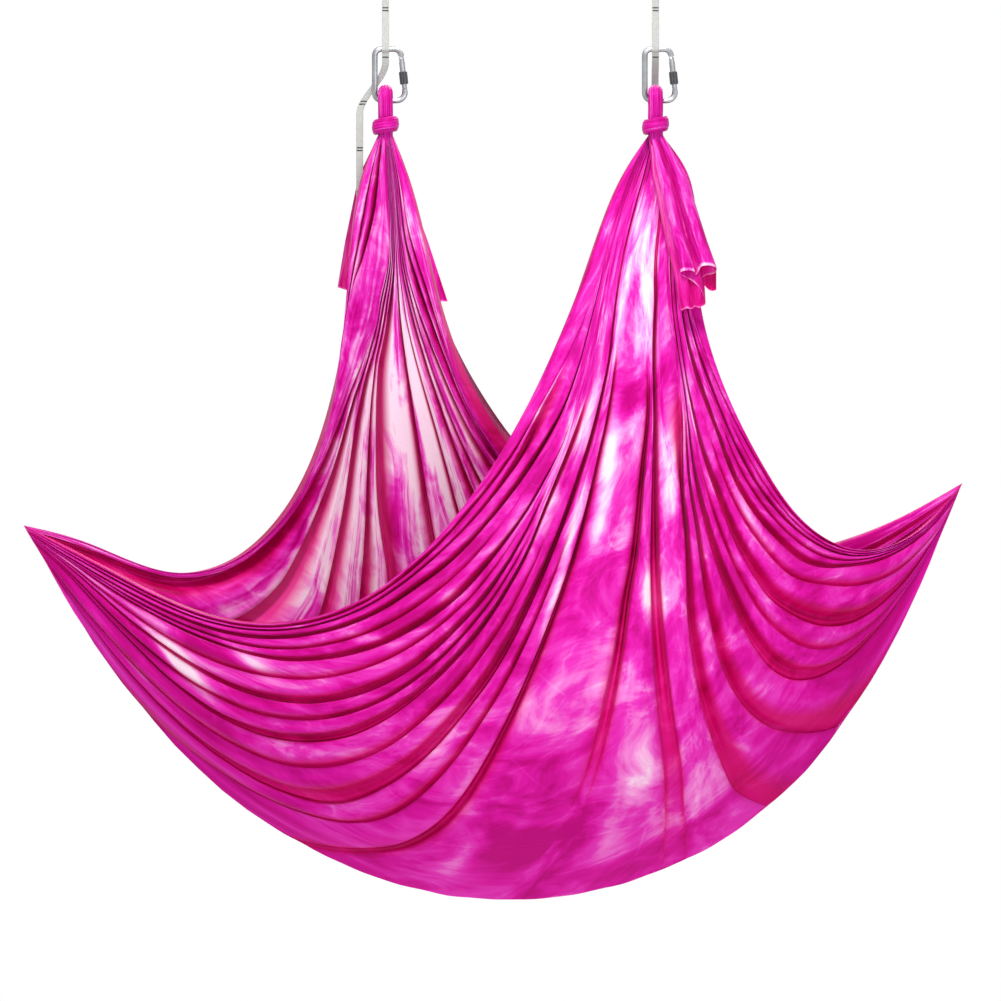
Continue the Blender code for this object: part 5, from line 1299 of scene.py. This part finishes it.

# %% [markdown]
# ## Metal
# The carabiners are bent from steel rod and tumbled to a satin grey. Tumbling leaves tiny scratches in
# all directions, so the roughness varies at about a millimetre and the surface has a faint grain. The
# screw sleeves are turned aluminium, anodised black, with fine rings from the lathe and edges worn a
# little lighter; here they get a fine grain in their roughness and the lighter edges, not the rings.

# %% Tumbled steel
STEEL_GRAIN = 0.0016
STEEL_PATCH = 0.025

steel, surface = new_material("tumbled_satin_steel")
place = add(steel, "ShaderNodeTexCoord")
grain = add(steel, "ShaderNodeTexNoise", {"Vector": place.outputs["Object"]},
            inputs={"Scale": 1 / STEEL_GRAIN, "Detail": 5.0, "Roughness": 0.6})
patches = add(steel, "ShaderNodeTexNoise", {"Vector": place.outputs["Object"]},
              inputs={"Scale": 1 / STEEL_PATCH, "Detail": 3.0})
tone = add(steel, "ShaderNodeValToRGB", {"Fac": patches.outputs["Fac"]},
           ramp=[(0.3, colour("#8b8d90")), (0.7, colour("#a6a8ab"))])
feed(steel, tone.outputs["Color"], surface, "Base Color")
rough = add(steel, "ShaderNodeMapRange", {"Value": grain.outputs["Fac"]},
            inputs={"To Min": 0.32, "To Max": 0.46})
feed(steel, rough.outputs["Result"], surface, "Roughness")
surface.inputs["Metallic"].default_value = 1.0
relief = add(steel, "ShaderNodeBump", {"Height": grain.outputs["Fac"]},
             inputs={"Strength": 0.15, "Distance": 0.0002})
feed(steel, relief.outputs["Normal"], surface, "Normal")

# %% Anodised aluminium
SLEEVE_GRAIN = 0.0012

anodised, surface = new_material("black_anodised_aluminium")
place = add(anodised, "ShaderNodeTexCoord")
grain = add(anodised, "ShaderNodeTexNoise", {"Vector": place.outputs["Object"]},
            inputs={"Scale": 1 / SLEEVE_GRAIN, "Detail": 4.0})
bend = add(anodised, "ShaderNodeNewGeometry")
wear = add(anodised, "ShaderNodeMapRange", {"Value": bend.outputs["Pointiness"]},
           inputs={"From Min": 0.52, "From Max": 0.60, "To Min": 0.0, "To Max": 0.6})
worn = add(anodised, "ShaderNodeMath", {0: wear.outputs["Result"], 1: grain.outputs["Fac"]},
           operation="MULTIPLY")
tone = add(anodised, "ShaderNodeValToRGB", {"Fac": worn.outputs[0]},
           ramp=[(0.0, colour("#191a1c")), (0.5, colour("#5e6063"))])
feed(anodised, tone.outputs["Color"], surface, "Base Color")
surface.inputs["Metallic"].default_value = 0.6
rough = add(anodised, "ShaderNodeMapRange", {"Value": grain.outputs["Fac"]},
            inputs={"To Min": 0.34, "To Max": 0.50})
feed(anodised, rough.outputs["Result"], surface, "Roughness")
relief = add(anodised, "ShaderNodeBump", {"Height": grain.outputs["Fac"]},
             inputs={"Strength": 0.12, "Distance": 0.0002})
feed(anodised, relief.outputs["Normal"], surface, "Normal")

# %% Spring steel
COIL_PITCH = 0.0011

springs, surface = new_material("bright_spring_steel")
place = add(springs, "ShaderNodeTexCoord")
coils = add(springs, "ShaderNodeTexWave", {"Vector": place.outputs["Object"]}, wave_type="BANDS",
            bands_direction="Z", inputs={"Scale": WAVE_BAND / COIL_PITCH})
tone = add(springs, "ShaderNodeValToRGB", {"Fac": coils.outputs["Fac"]},
           ramp=[(0.0, colour("#55575a")), (0.6, colour("#c9cacc"))])
feed(springs, tone.outputs["Color"], surface, "Base Color")
surface.inputs["Metallic"].default_value = 1.0
surface.inputs["Roughness"].default_value = 0.25
relief = add(springs, "ShaderNodeBump", {"Height": coils.outputs["Fac"]},
             inputs={"Strength": 0.8, "Distance": 0.0004})
feed(springs, relief.outputs["Normal"], surface, "Normal")
print("three metals ready")

# %% Give the frame's metal parts their finish
dressed = 0
for name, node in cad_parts.items():
    if name.split("_")[0] not in ("upper", "lower"):
        continue
    finish = anodised if name.endswith("sleeve") else springs if name.endswith("spring") else steel
    node.material_slots[0].material = finish
    dressed += 1
print(dressed, "metal parts finished")
